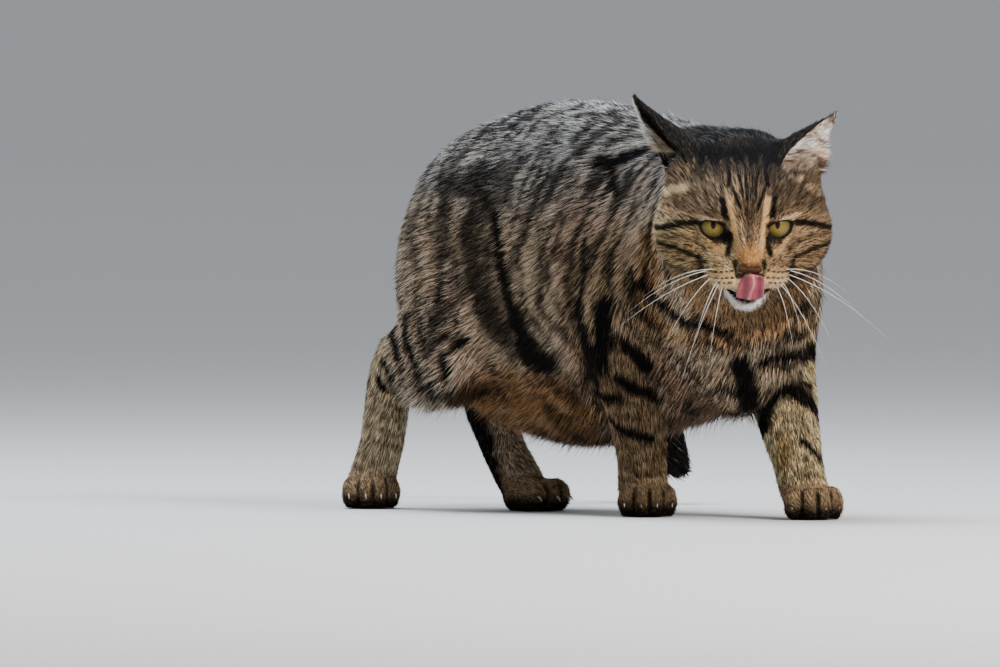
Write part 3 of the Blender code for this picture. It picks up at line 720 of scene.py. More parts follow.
# %% Strokes on the trunk
# Each stroke is its strength, its half width at its start and at its end, and the points of its path.
MIDLINE = -42.55
BODY_STROKES = (
    (0.85, 4.0, 4.4, ((-98, 57, 217), (-103, 50, 206), (-105, 41, 197), (-106, 30, 188))),
    (1.0, 4.6, 5.6, ((-106, 30, 188), (-108, 24, 172), (-109, 19, 156), (-109, 15, 141))),
    (1.0, 5.6, 11.0, ((-109, 15, 141), (-108, 9, 128), (-105, 4, 113), (-103, 0, 102))),
    (0.80, 9, 11, (
        (-105, 52, 192), (-108, 54, 175), (-109, 49, 158), (-110, 42, 141), (-108, 33, 125), (-106, 19, 113),
    )),
    (0.66, 13, 11, ((-97, 30, 214), (-103, 30, 200), (-107, 40, 188))),
    (0.55, 8, 11, ((-108, 38, 170), (-109, 32, 150), (-109, 22, 130), (-106, 10, 112))),
    (1.0, 10, 10, ((-103, 2, 104), (-100, -6, 97), (-98, -16, 95))),
    (0.60, 4, 4, ((-93, 37, 228), (-100, 24, 219), (-103, 16, 210), (-105, 17, 197))),
    (0.9, 3.2, 6.5, ((-106, -58, 173), (-107, -61, 157), (-108, -59, 142), (-107, -55, 129))),
    (1.0, 6, 13, ((-107, -54, 133), (-107, -56, 120), (-108, -62, 106), (-103, -62, 94))),
    (1.0, 8, 12, ((-116, -86, 132), (-112, -82, 114), (-105, -72, 98), (-98, -58, 86))),
    (0.55, 3, 5, (
        (-96, 104, 210), (-98, 112, 200), (-103, 115, 187), (-109, 111, 173), (-113, 103, 156),
    )),
    (0.70, 3, 3.5, ((-89, 84, 228), (-97, 86, 216), (-101, 88, 203), (-105, 86, 187), (-109, 76, 160))),
    (0.65, 3, 4, ((-70, 58, 250), (-82, 73, 238), (-89, 79, 229), (-95, 81, 219), (-101, 77, 206))),
    (0.75, 3, 4, ((-62, 28, 258), (-72, 37, 252), (-80, 42, 245))),
    (0.45, 3, 3, ((-82, 6, 243), (-85, -5, 241), (-87, -13, 239))),
    (0.70, 2.4, 2.4, ((-89, -11, 235), (-95, -8, 225), (-100, -8, 215), (-104, -7, 200))),
    (0.60, 2.4, 2.4, ((-88, -32, 231), (-97, -26, 219), (-102, -22, 209), (-105, -18, 197))),
    (0.60, 2.4, 2.6, (
        (-79, -46, 240), (-87, -41, 232), (-94, -37, 222), (-99, -34, 212), (-104, -31, 199),
    )),
    (0.70, 4, 3, ((-60, -52, 250), (-63, -40, 251), (-65, -24, 252), (-69, -12, 252))),
    (0.60, 3, 3, ((-70, -80, 238), (-76, -66, 237), (-83, -52, 234))),
    (1.0, 5, 4, ((-91, -54, 222), (-89, -67, 223), (-86, -78, 226), (-80, -90, 229))),
    (1.0, 6, 3, ((-90, -64, 221), (-94, -72, 213), (-99, -82, 202))),
    (0.45, 1.8, 1.8, ((-105, 5, 197), (-108, 2, 178), (-109, 1, 160), (-109, -1, 141), (-107, -8, 122))),
    (0.5, 1.8, 2, (
        (-105, -11, 199), (-107, -16, 182), (-109, -17, 166), (-109, -18, 144), (-106, -22, 122),
    )),
    (0.40, 1.8, 1.8, ((-106, -35, 188), (-108, -35, 173), (-108, -38, 157))),
    (0.40, 1.8, 2.2, ((-105, -46, 188), (-107, -48, 170), (-108, -47, 155), (-107, -44, 138))),
    (0.6, 7, 8, ((-107, 84, 180), (-108, 74, 165), (-108, 66, 152), (-108, 60, 138))),
    (0.55, 2.6, 3.0, ((-108, 89, 175), (-110, 82, 159), (-113, 76, 140), (-116, 71, 128))),
    (0.60, 2.5, 2.5, ((-111, 62, 136), (-114, 64, 125))),
    (0.70, 2.5, 3.0, ((-114, 55, 113), (-116, 62, 103))),
    (0.70, 2.5, 2.5, ((-97, 132, 150), (-105, 126, 138), (-110, 118, 130))),
)
THIGH_STROKES = (
    (1.0, 4.8, 5.0, ((-113, 110, 122), (-110, 115, 113), (-112, 108, 102))),
    (1.0, 4.8, 3.6, ((-112, 108, 102), (-112, 100, 88), (-110, 94, 79))),
    (1.0, 5.6, 4.2, ((-96, 146, 119), (-104, 136, 110), (-107, 129, 102), (-108, 125, 95))),
    (0.75, 4.8, 3.6, ((-117, 92, 120), (-116, 91, 112), (-116, 89, 101))),
    (1.0, 4.5, 3.6, ((-100, 148, 94), (-101, 144, 89), (-99, 140, 84), (-89, 146, 75))),
    (1.0, 3.6, 3.6, ((-95, 159, 82), (-93, 157, 76))),
    (0.8, 2.8, 2.8, ((-106, 124, 88), (-101, 124, 79))),
    (1.0, 3.1, 3.6, ((-115, 60, 104), (-112, 53, 108))),
    (0.8, 2.8, 3.4, ((-118, 75, 108), (-117, 64, 111))),
    (1.0, 3.9, 4.2, ((-118, 68, 98), (-116, 67, 90), (-114, 69, 84))),
    (1.0, 4.5, 4.8, ((-112, 85, 80), (-106, 87, 74))),
)
# Strokes that differ from side to side, or that go round the front, where the two sides meet.
FRONT_STROKES = (
    (1, 3.2, 4.2, (
        (-109, -115, 147), (-101, -121, 136), (-98, -130, 127), (-98, -147, 121), (-92, -168, 119),
    )),
    (1.0, 4.2, 4.2, (
        (-92, -168, 119), (-80, -180, 121), (-66, -190, 128), (-44, -192, 130), (-20, -184, 138),
    )),
    (1.0, 3.5, 6.5, (
        (-60, -176, 96), (-47, -176, 100), (-32, -173, 101), (4, -142, 102), (20, -132, 103),
    )),
    (1.0, 9, 9, ((-74, -168, 240), (-58, -180, 240))),
    (1.0, 7.5, 8.0, ((-72, -168, 97), (-64, -164, 88), (-58, -160, 77), (-50, -153, 67))),
    (1.0, 6.0, 6.5, (
        (-26, -130, 52), (-30, -139, 58), (-37, -153, 69), (-36, -163, 77), (-26, -164, 80),
    )),
    (1.0, 6.8, 6.0, ((-26, -164, 80), (-13, -157, 78), (-5, -157, 73), (3, -155, 65), (10, -146, 60))),
    (0.9, 2.5, 3.5, ((-12, -157, 86), (-1, -153, 82), (9, -140, 80))),
    (0.45, 2.0, 2.0, ((-27, -156, 59), (-22, -160, 61), (-14, -166, 59))),
    (0.95, 2.2, 4.0, ((-21, -168, 49), (-17, -171, 44), (-11, -172, 38), (-4, -166, 33))),
    (0.5, 1.6, 1.6, ((-30, -159, 45), (-25, -165, 49))),
    (1.0, 3.0, 6.0, ((-107, -95, 111), (-100, -96, 104), (-91, -99, 95))),
    (1.0, 3.5, 5.5, ((-100, -83, 87), (-93, -89, 80), (-86, -93, 78), (-78, -95, 76))),
    (1.0, 4.0, 4.0, ((-86, -46, 78), (-97, -66, 75), (-97, -80, 73))),
    (0.95, 3.0, 4.0, ((-92, -64, 61), (-89, -75, 54), (-83, -82, 50), (-75, -86, 49))),
    (0.7, 1.6, 1.6, ((-92, -78, 63), (-84, -87, 60))),
    (0.45, 2.0, 2.0, ((-83, -66, 37), (-77, -79, 35), (-64, -84, 36))),
    (0.75, 1.4, 1.4, ((-79, -75, 27), (-73, -81, 26), (-63, -82, 27))),
    (0.8, 2.0, 2.0, ((-94, 158, 69), (-86, 152, 63), (-74, 156, 62))),
)
# Lighter or redder hair, with the same layout.
TRUNK_PALE = (
    (0.55, 3.0, 4.0, (
        (-108, -30, 157), (-108, -33, 135), (-105, -29, 116), (-102, -28, 103), (-97, -32, 90),
    )),
    (0.4, 10, 9, ((-93, -102, 216), (-101, -102, 198), (-105, -101, 179), (-112, -107, 161))),
    (0.35, 7, 7, ((-117, 72, 92), (-113, 66, 86), (-108, 60, 88))),
)
TRUNK_RUST = (
    (0.75, 9, 7, (
        (-108, -119, 172), (-107, -121, 155), (-105, -118, 142), (-100, -114, 125), (-96, -130, 112),
    )),
    (0.7, 6, 7, (
        (-96, -130, 112), (-92, -160, 112), (-76, -179, 111), (-58, -187, 119), (-30, -184, 125),
    )),
    (0.8, 9, 10, ((-97, 40, 84), (-97, 14, 83), (-95, -7, 80), (-87, -22, 70), (-77, -29, 60))),
    (0.7, 7, 7, ((-34, -158, 50), (-30, -161, 40), (-28, -162, 28))),
)
print("dark strokes on trunk and legs", len(BODY_STROKES + THIGH_STROKES + FRONT_STROKES))

# %% Strokes on the face
# These are in head space, on the cat's right side, and mirrored unless they stand alone.
FACE_STROKES = (
    (0.95, 1.6, 2.3, ((-30, -9, 4.8), (-33, -6, 5.0), (-41, -1, 3.2))),
    (0.95, 2.5, 1.4, ((-41, -1, 3.2), (-48, 3, 1), (-56, 16, -4))),
    (0.55, 1.4, 1.6, ((-16, 0, 36), (-16.5, -6, 29), (-16.4, -12, 22))),
    (1.0, 1.9, 2.6, ((-16.4, -12, 22), (-15.8, -16, 17), (-15.2, -18, 12))),
    (0.9, 1.3, 1.2, ((-10, -10, 28), (-8, -15, 24), (-6, -17, 19))),
    (0.8, 1.2, 1.0, ((-6, -2, 37), (-4.5, -10, 30), (-4, -15, 25))),
    (0.9, 1.8, 1.6, ((-11.5, 10, 42), (-11.5, -1, 36), (-12, -8, 30))),
    (0.92, 1.7, 1.6, ((-12.8, -19, 2), (-12.8, -20, -4), (-13.6, -23, -9.5))),
    (0.8, 1.6, 1.6, ((-54, 10, -12), (-44, -1, -12), (-35, -7, -15), (-28, -17, -16.5))),
    (0.7, 2.2, 2.0, ((-56, 34, -31), (-48, 14, -26), (-38, -4, -27), (-30, -5, -32))),
    # A painted shadow on the cheek behind the bulging whisker pad, mirrored to the left side.
    (0.8, 2.0, 2.8, ((-31.5, -12, -15), (-30, -14, -22), (-29, -14, -30))),
    (0.45, 1.8, 1.4, ((-29, 6, 32), (-26, -4, 25), (-25, -10, 18))),
    (0.45, 1.8, 1.4, ((-37, 11, 28), (-33, 0, 21), (-31, -4, 14))),
    (0.40, 1.8, 1.6, ((-45, 12, 19), (-40, 3, 11))),
    (0.45, 1.2, 1.6, ((-22, -4, 29), (-21, -12, 21), (-21, -14, 14))),
    (0.40, 1.6, 1.6, ((-42, 0, -3), (-34, -7, -6), (-27, -12, -9))),
    # Painted shade in the fur beside the wings of the nose, on both sides.
    (0.85, 1.8, 1.2, ((-10.4, -30, -12.8), (-9.6, -32, -16.5))),
    (0.75, 0.9, 0.9, ((-9.6, -32, -16.5), (-8.3, -33, -20.4))),
)
FACE_CENTRE_STROKES = (
    (0.8, 1.3, 1.0, ((-1.5, 3, 40), (-1.5, -8, 33), (-1.5, -16, 23))),
    (0.7, 1.2, 1.0, ((2.5, 0, 38), (3, -9, 31), (2.5, -15, 25))),
    (0.5, 4.0, 3.5, ((0, -16, 22), (0, -20, 6), (0, -25, -2))),
    # A painted shadow between the nose and the tongue.
    (0.9, 1.5, 1.5, ((-8.5, -33, -20.4), (0, -34, -20.4), (8, -33, -20.4))),
)
FACE_PALE = (
    (0.35, 2.5, 2.5, ((-47, 16, 19), (-40, 13, 24))),
    (0.65, 0.8, 1.9, ((-17, -15, 7.5), (-22, -12, 9), (-28, -9, 9.8), (-34, -6, 9.3))),
)
FACE_PALE_ALONE = (
    (0.85, 2.4, 2.8, ((-49, 18, 18), (-43, 14, 22), (-36, 11, 25))),
    (0.6, 2.2, 2.4, ((21, 8, 31), (28, 10, 31), (35, 12, 29))),
)
FACE_FAWN = (
    (0.85, 0.8, 1.9, (
        (-36, -4, 3.2), (-32, -8, 0.2), (-26, -12, -4.0), (-20, -17, -6.8), (-17, -20, -8.6),
    )),
    (1.0, 2.3, 2.6, (
        (-11.5, -14, 22), (-11, -17, 14), (-10.2, -20, 6), (-9.6, -24, -3), (-8.5, -28, -9),
    )),
    (0.5, 1.0, 1.0, ((-9, -12, 27), (-11, -15, 22), (-12.5, -14, 19))),
)
# The dark spots that the whiskers' rows grow from: a row's start, its end and its number of spots.
SPOT_ROWS = (
    ((-11.5, -17.5), (-25, -20), 5), ((-11.5, -22), (-25, -23.5), 5), ((-13, -26), (-23, -27.5), 4),
)
# How far each axis counts when a point of the face asks how near a stroke is.
FACE_FLATTENING = (1, 0.3, 1)


def stroke_mask(places, strokes, wander, mirror_at=None, soft=0.35):
    """How strongly any of the strokes covers each point. wander roughens their edges."""
    mask = np.zeros(len(places))
    for strength, start_width, end_width, path in strokes:
        path = np.array(path, float)
        sides = [path] if mirror_at is None else [path, path * (-1, 1, 1) + (2 * mirror_at, 0, 0)]
        margin = 2.2 * max(start_width, end_width)
        steps = np.linspace(0, 1, len(path))
        for line in sides:
            inside = np.all((places > line.min(0) - margin) & (places < line.max(0) + margin), axis=1)
            near = np.flatnonzero(inside)
            spot = places[near]
            best = np.full(len(near), np.inf)
            for start, end, early, late in zip(line, line[1:], steps, steps[1:]):
                along = end - start
                t = np.clip((spot - start) @ along / (along @ along), 0, 1)
                away = span(spot - start - t[:, None] * along)
                best = np.minimum(best, away / mix(start_width, end_width, mix(early, late, t)))
            edge = best + wander[near]
            mask[near] = np.maximum(mask[near], strength * (1 - fade(edge, 0.95 - soft, 0.95 + soft)))
    return mask


def face_mask(local, strokes, wander, mirror_at=None):
    """The strokes' mask in head space, where how far forward a point lies counts for little."""
    flat = [(*widths, np.array(path) * FACE_FLATTENING) for *widths, path in strokes]
    return stroke_mask(local * FACE_FLATTENING, flat, wander, mirror_at)


def whisker_spots(local):
    """1 in the small dark spots on the upper lips, in head space."""
    mask = np.zeros(len(local))
    for start, end, count in SPOT_ROWS:
        for across_lip, height in np.linspace(start, end, count):
            away = np.hypot((np.abs(local[:, 0]) + across_lip) / 1.25, (local[:, 2] - height) / 0.8)
            mask = np.maximum(mask, 1 - fade(away, 0.6, 1.3))
    return mask


print("dark strokes on the face", len(FACE_STROKES + FACE_CENTRE_STROKES))

# %% Streaks and rings


def streaks(places):
    """Fine dark streaks that run as the stripes do: down the flank, and leaning back over the spine."""
    x, y, z = places.T
    lean = 0.37 * np.maximum(z - 165, 0) + 0.9 * np.maximum(128 - z, 0)
    run = y + mix(lean, -0.3 * (z - 150), fade(y, 45, 80)) + 5 * noise(places, 22, 21)
    broad = np.stack((x * 0.05, run / 4.2, z / 26), axis=1)
    fine = np.stack((x * 0.1, run / 2.2, z / 15), axis=1)
    return 0.6 * noise(broad, 1.0, 22) + 0.4 * noise(fine, 1.0, 23)


def ring_bands(distance, spacing, wander):
    """Dark rings across a leg or the tail, a spacing apart, from the distance along it."""
    return fade(np.cos(2 * np.pi * (distance / spacing + wander * 0.5)), 0.35, 0.85)


def along_bones(places, *nodes):
    """The distance along a chain of parts' middles from the first, for each point."""
    chain = [middle(node) for node in nodes]
    best = np.full(len(places), np.inf)
    distance = np.zeros(len(places))
    done = 0.0
    for start, end in zip(chain, chain[1:]):
        bone = end - start
        length = np.linalg.norm(bone)
        t = (places - start) @ bone / length**2
        away = span(places - start - np.clip(t, 0, 1)[:, None] * bone)
        distance = np.where(away < best, done + t * length, distance)
        best = np.minimum(best, away)
        done += length
    return distance


def behind_leg(places, leg):
    """How far a point lies to the back of its lower leg: 1 at the back, -1 at the front."""
    low, foot = map(middle, leg_nodes(leg)[1:])
    bone = foot - low
    t = (places - low) @ bone / (bone @ bone)
    turn = math.radians(PAW_TURNS[leg])
    return (places - low - t[:, None] * bone) @ np.array((-math.sin(turn), math.cos(turn), 0)) / 16


def out_of_ball(places, centre, radii):
    """How far points are out of an ellipsoid: 1 is its surface."""
    return span((places - centre) / radii)


print("streaks from", streaks(points).min().round(2), "to", streaks(points).max().round(2))

# %% The hollows and rims of the ears
# In head space, along the edge between each ear's dark back and its pale hollow: the right ear's height
# and how far across it stands, and the left ear's place across and its height.
RIGHT_RIM = ((37, -40.5), (43, -48.2), (50, -54.8), (57, -61), (64, -64.2), (72, -68))
LEFT_RIM = ((22, 37.5), (27, 43.3), (34, 48.6), (42, 53), (50, 56.6), (57, 59.2), (61, 60.2))
EAR_NAMES = {LEFT: "ear_left", RIGHT: "ear_right"}
EAR_TIPS = np.array(((-69, 45, 73.5), (60, 52, 62)))
EAR_FACING = {RIGHT: np.array((-15.5, -17, -20)), LEFT: np.array((7, -23.5, -12.5))}


def rim_line(local):
    """1 along the thin bright edge of the right ear, in head space."""
    left, back, up = local.T
    line = np.exp(-(((read_off(up, RIGHT_RIM) + 0.3 - left) / 1.1) ** 2))
    return line * fade(-up, -62, -50)


def ear_inside(places, parts, facing):
    """1 on the pale, hollow side of an ear: outside the rim of the right ear and below that of the left."""
    local = to_head(places)
    left, back, up = local.T
    ragged = noise(places, 1.5, 71) * 1.6 - 0.8
    past_rim = {LEFT: read_off(left, LEFT_RIM) - up, RIGHT: read_off(up, RIGHT_RIM) - left}
    past_rim = {side: past + ragged for side, past in past_rim.items()}
    inside = np.zeros(len(places))
    for side, name in EAR_NAMES.items():
        hollow = facing @ unit(head_axes @ EAR_FACING[side])
        shown = fade(hollow, -0.1, 0.25) * fade(past_rim[side], -0.3, 1.0)
        if side == RIGHT:
            shown = np.maximum(shown * fade(up, 33, 41), rim_line(local))
        inside = np.where(in_part(parts, name), shown, inside)
    # The left ear's hollow runs down on to the head.
    below = fade(left, 20, 24) * fade(up, 31, 37) * fade(back, 4, 9)
    below = 0.85 * below * fade(past_rim[LEFT], -0.3, 1.0) * fade(facing @ across, -0.2, 0.3)
    return np.where(in_part(parts, "head"), below, inside)


print("skin points in the ears' hollows", int((ear_inside(points, parts, normals) > 0.5).sum()))

# %% The masks of the pattern
MASKS = ("dark", "rust", "pale", "white", "silver_and_sky_sheen", "pink", "painted_sky_sheen", "fawn")
HEEL_EDGE = {"hind_left": 0.24, "hind_right": 0.05}  # how far back the dark back of the leg begins
RING_SPACING, FAINT_SPACING, TAIL_SPACING = 15, 10, 26


def leg_marks(places, parts, wander, dark, rust):
    """The masks with the legs' rings and dark backs, painted shade in the toe clefts, the paws darker low
    down, and the tail's rings.
    """
    height = places[:, 2]
    shift = 4 * noise(places, 9, 33)
    low_on_paw = 0.88 * fade(wander * 3 - height, -14, -3)
    for leg in LEG_NAMES:
        lower, paw = (in_part(parts, node) for node in leg_nodes(leg)[1:])
        back = behind_leg(places, leg)
        distance = along_bones(places, *leg_nodes(leg))
        heel = ring_bands(distance, RING_SPACING, wander) * fade(back, 0.0, 0.6) * 0.7
        if leg in HEEL_EDGE:
            heel = fade(back + wander * 0.5 - HEEL_EDGE[leg], 0.0, 0.6)
            heel = heel * fade(wander * 9 - height, -100, -78)
        faint = 0.42 * ring_bands(distance + shift, FAINT_SPACING, wander) * (leg != "hind_left")
        dark = np.where(lower, strongest(dark, faint, heel * 0.97), dark)
        # The clefts between the toes are darkened: painted shade in the creases.
        dark = np.where(paw, strongest(heel * 0.9, toe_gaps(places, leg) * 0.75, low_on_paw), dark)
        rust = np.where(paw, 0.08, np.where(lower, np.maximum(rust, 0.15), rust))
    rings = ring_bands(along_bones(places, "tail_base", "tail_middle", "tail_tip"), TAIL_SPACING, wander)
    dark = np.where(in_part(parts, "tail_base", "tail_middle"), rings, dark)
    return np.where(in_part(parts, "tail_tip"), 1.0, dark), rust


def face_dark(places, local, parts, wander):
    """The dark mask of the head and the ears: strokes, crown, whisker spots and the edges of the lids."""
    left, back, up = local.T
    brow = up + 0.35 * back
    ragged = noise(local * (0.45, 0.12, 0.12), 1.0, 31) * 12 - 6
    crown_edge = np.where(in_part(parts, "head"), 0.9 * np.maximum(np.abs(left) - 28, 0), 0)
    # The middle of the crown is a little lighter: a painted highlight from the sky.
    sheen = np.exp(-(((left + 6) / 14) ** 2)) * fade(brow, 48, 58)
    masks = [
        face_mask(local, FACE_STROKES, wander, 0.0),
        face_mask(local, FACE_CENTRE_STROKES, wander),
        fade(brow + ragged - crown_edge, 40, 46) * (1 - 0.22 * sheen),
        0.68 * (fade(brow + ragged * 0.8, 24, 40) * (np.abs(left) < 34)),
        0.95 * np.where(back < -4, whisker_spots(local), 0),
    ]
    for side in (LEFT, RIGHT):
        spot, reach = eye_places(places, side)
        masks.append(np.where(span(spot) < 18, 1 - fade(reach, 1.03, 1.12), 0))
        corner = out_of_ball(spot, (-side * 10.6, -9, -3.0), (1.9, 6, 2.3))
        masks.append(1 - fade(corner, 0.6, 1.1))
    return strongest(*masks)


def markings(places, parts, facing):
    """The masks of the pattern, from 0 to 1, in the order of MASKS."""
    on = partial(in_part, parts)
    on_head, trunk = on("head", "ear"), on("neck", "chest", "belly", "rump", "upper")
    height = places[:, 2]
    local = to_head(places)
    left, back, up = local.T
    wander = noise(places, 5.0, 11) * 0.6 - 0.3 + noise(places, 2.0, 12) * 0.5 - 0.25
    lines = streaks(places)
    dark = strongest(
        stroke_mask(places, BODY_STROKES, wander * 1.5, MIDLINE, 0.5),
        stroke_mask(places, BODY_STROKES[:3], wander * 0.6, MIDLINE),
        stroke_mask(places, THIGH_STROKES, wander * 0.7, MIDLINE),
        stroke_mask(places, FRONT_STROKES, wander * 0.7),
        np.where(trunk, 0.76 * fade(lines, 0.49, 0.62), 0),
    )
    pale = stroke_mask(places, TRUNK_PALE, wander, MIDLINE)
    pale = pale + np.where(trunk, 0.25 * fade(lines, 0.42, 0.28), 0)
    rust = stroke_mask(places, TRUNK_RUST, wander, MIDLINE)
    underside = on("belly") & (height < 96)
    rust = np.maximum(rust, np.where(underside, fade(-height, -94, -74), 0))
    dark, rust = leg_marks(places, parts, wander, dark, rust)
    # The face: its strokes, the pale pads of the whiskers, the white chin and the fawn end of the nose.
    wander = wander * 0.55
    muzzle = out_of_ball(np.stack((np.abs(left), back, up), axis=1), (13, -27, -24), (15, 15, 8.5))
    pads, low_pad = 1 - fade(muzzle, 0.8, 1.15), fade(-up, 20, 25)
    chin_width = 16.5 - 0.7 * np.clip(-34 - up, 0, 10)
    chin_radii = np.stack(np.broadcast_arrays(chin_width, 18.0, 9.5), axis=1)
    chin = out_of_ball(local, (-1.5, -24, -39), chin_radii)
    white = np.where(on_head & (up < -29), 1 - fade(chin, 0.85, 1.1), 0)
    tip_of_nose = 1 - fade(out_of_ball(local, (0, -31, -10), (10.5, 14, 11)), 0.6, 1.15)
    face = strongest(face_dark(places, local, parts, wander), 0.75 * tip_of_nose * fade(-up, 10.5, 16.5))
    dark = np.where(on_head, face, dark)
    face_pale = strongest(
        face_mask(local, FACE_PALE, wander, 0.0), face_mask(local, FACE_PALE_ALONE, wander),
        pads * mix(0.6, 1.0, low_pad),
    )
    pale = np.where(on_head, face_pale, pale)
    face_fawn = strongest(
        face_mask(local, FACE_FAWN, wander, 0.0), pads * mix(0.6, 0.25, low_pad), 0.8 * tip_of_nose
    )
    fawn = np.where(on("ear_right"), rim_line(local), np.where(on_head, face_fawn, 0))
    cheek = 0.35 * fade(-left, 8, 24) * fade(-up, -8, 6)
    rust = np.where(on_head, strongest(tip_of_nose, 0.35 * fade(-up, 5, 25), cheek), rust)
    # The trunk turns greyer towards the top of the back: partly the coat's own grey, partly painted sky
    # sheen.
    silver_and_sky_sheen = np.where(on_head, 0.15 * fade(up, 10, 35), fade(height, 165, 240))
    silver_and_sky_sheen = np.where(on("tail"), 0.6, silver_and_sky_sheen)
    # The dark on the ears is lifted a little: painted light, for their hollows that lie in shade.
    dark = np.where(on("ear"), dark * 0.93, dark)
    # Painted sky sheen: hairs that face up, high on the back, take a cool glint.
    painted_sky_sheen = fade(facing[:, 2], 0.2, 0.85) * fade(height, 175, 230)
    nape = fade(-places[:, 1], 80, 105) * fade(height, 222, 236)
    dark = np.maximum(dark, 0.84 * np.where(on("neck", "chest"), nape, 0))
    pink = ear_inside(places, parts, facing)
    return dark * (1 - pink), rust, pale, white, silver_and_sky_sheen, pink, painted_sky_sheen, fawn


shares = [round(float(mask.mean()), 2) for mask in markings(points, parts, normals)]
print("shares of the skin", dict(zip(MASKS, shares)))

# %% The colours of a hair
# Linear colours. The ground has a light band and a dark band on each hair; the rest are plainer.
INK = np.array((0.0032, 0.0025, 0.0021))
# The dark colour where the painted sky sheen falls.
SKY_SHEEN_INK = np.array((0.0042, 0.0045, 0.0055))
TAN = np.array((0.57, 0.355, 0.232))
# The grey of the upper back: partly the coat's own colour, partly painted sky sheen.
SILVER_AND_SKY_SHEEN = np.array((0.56, 0.505, 0.465))
# The black of the ticks, and the painted shade at the hairs' roots.
TICK_AND_ROOT_SHADE = np.array((0.022, 0.015, 0.010))
RUST = np.array((0.50, 0.26, 0.10))
FAWN = np.array((0.76, 0.48, 0.22))
GOLD = np.array((0.66, 0.33, 0.12))
CREAM = np.array((0.95, 0.70, 0.42))
SAND = np.array((0.84, 0.60, 0.44))
WHITE = np.array((0.95, 0.91, 0.86))
EAR_PINK = np.array((0.62, 0.45, 0.35))
EAR_TAN_WITH_PAINTED_LIGHT = np.array((0.92, 0.66, 0.47))
FACE_CAST = (1.0, 1.05, 0.90)
OLIVE_CAST = (0.98, 1.09, 0.96)
LOW_HOLLOW_CAST = (0.74, 0.60, 0.46)
# The ground's brightness on these parts, in place of the rest: painted shade on the right foreleg and its
# paw, painted light on the left foreleg and the hind legs, and a little darker on the tail and the left fore
# paw.
PART_LIGHT_AND_SHADE = {
    "lower_leg_fore_right": 0.60, "upper_leg_fore_right": 0.56, "lower_leg_fore_left": 1.4,
    "lower_leg_hind_right": 1.75, "lower_leg_hind_left": 2.1, "upper_leg_hind_right": 1.4,
    "tail_base": 0.72, "tail_middle": 0.72, "paw_fore_right": 0.42, "paw_fore_left": 0.85, "paw_hind": 1.05,
}
# A random draw above the first makes a light hair, and one below the second a dark hair.
LIGHT_HAIR, DARK_HAIR = 0.52, 0.30


def coat_tone_and_painted_light(places, parts):
    """How bright the ground colour is: browner and darker on the brow, with painted shade under the jaw, on
    the throat, the chest, the low belly and the right foreleg, darker on the tail, and painted light on the
    right cheek and the other legs.
    """
    on = partial(in_part, parts)
    x, y, z = places.T
    local = to_head(places)
    left, back, up = local.T
    # Painted light on the cat's right cheek; the brow is darker as the coat is, and under the jaw there is
    # painted shade.
    cheek = 1.6 - 0.78 * fade(left, -14, 14)
    tone_and_light = (0.68 - 0.40 * fade(up, 4, 16) - 0.2 * fade(-up, 26, 36)) * cheek
    tone_and_light = np.where(on("head"), tone_and_light, 1.0)
    # Painted shade on the throat under the chin, over the chest and most of all low at its front, and low on
    # the belly.
    throat = fade(out_of_ball(local, (0, 0, -50), (42, 42, 26)), 0.6, 1.2)
    tone_and_light = np.where(on("neck", "chest"), tone_and_light * mix(0.62, 1.0, throat), tone_and_light)
    breast = fade(-z, -140, -112) * fade(-y, 100, 130)
    tone_and_light = np.where(on("chest"), tone_and_light * mix(0.82, 0.26, breast), tone_and_light)
    tone_and_light = np.where(on("belly"), tone_and_light * mix(1.0, 0.62, fade(-z, -94, -80)), tone_and_light)
    for word, value in PART_LIGHT_AND_SHADE.items():
        tone_and_light = np.where(on(word), value, tone_and_light)
    return tone_and_light[:, None]


def with_ear_hair(light, places, parts, pink, rng):
    """The light colour with the pale locks of the ears' hollows, which are browner low down."""
    on_right = in_part(parts, "ear_right")
    left, back, up = to_head(places).T
    beside = np.abs(left)
    locks = np.stack(((up + 0.35 * beside) / 1.5, beside * 0.12, back * 0.12), axis=1)
    straw = 0.35 * rng.random(len(places)) + 0.65 * fade(noise(locks, 1.0, 63), 0.3, 0.7)
    low = 0.4 * (fade(-up, -45, -37) * in_part(parts, "head", "ear_left"))
    low = np.where(on_right, fade(-up, -50, -42), low)
    straw, low, on_right = (straw - 0.2 * low)[:, None], low[:, None], on_right[:, None]
    hollow = mix(EAR_PINK, WHITE, fade(straw, 0.50, 0.95))
    hollow = mix(hollow, hollow * LOW_HOLLOW_CAST, low)
    # The right ear's hollow lies in shade. It is painted plain white going tan low down, lighter than the
    # left ear's and without its dark strands: its own pale hair with painted light.
    hollow = np.where(on_right, mix(WHITE, EAR_TAN_WITH_PAINTED_LIGHT, low), hollow)
    return mix(light, hollow, pink) * mix(1.0, 0.22, pink * (straw < 0.28) * ~on_right)


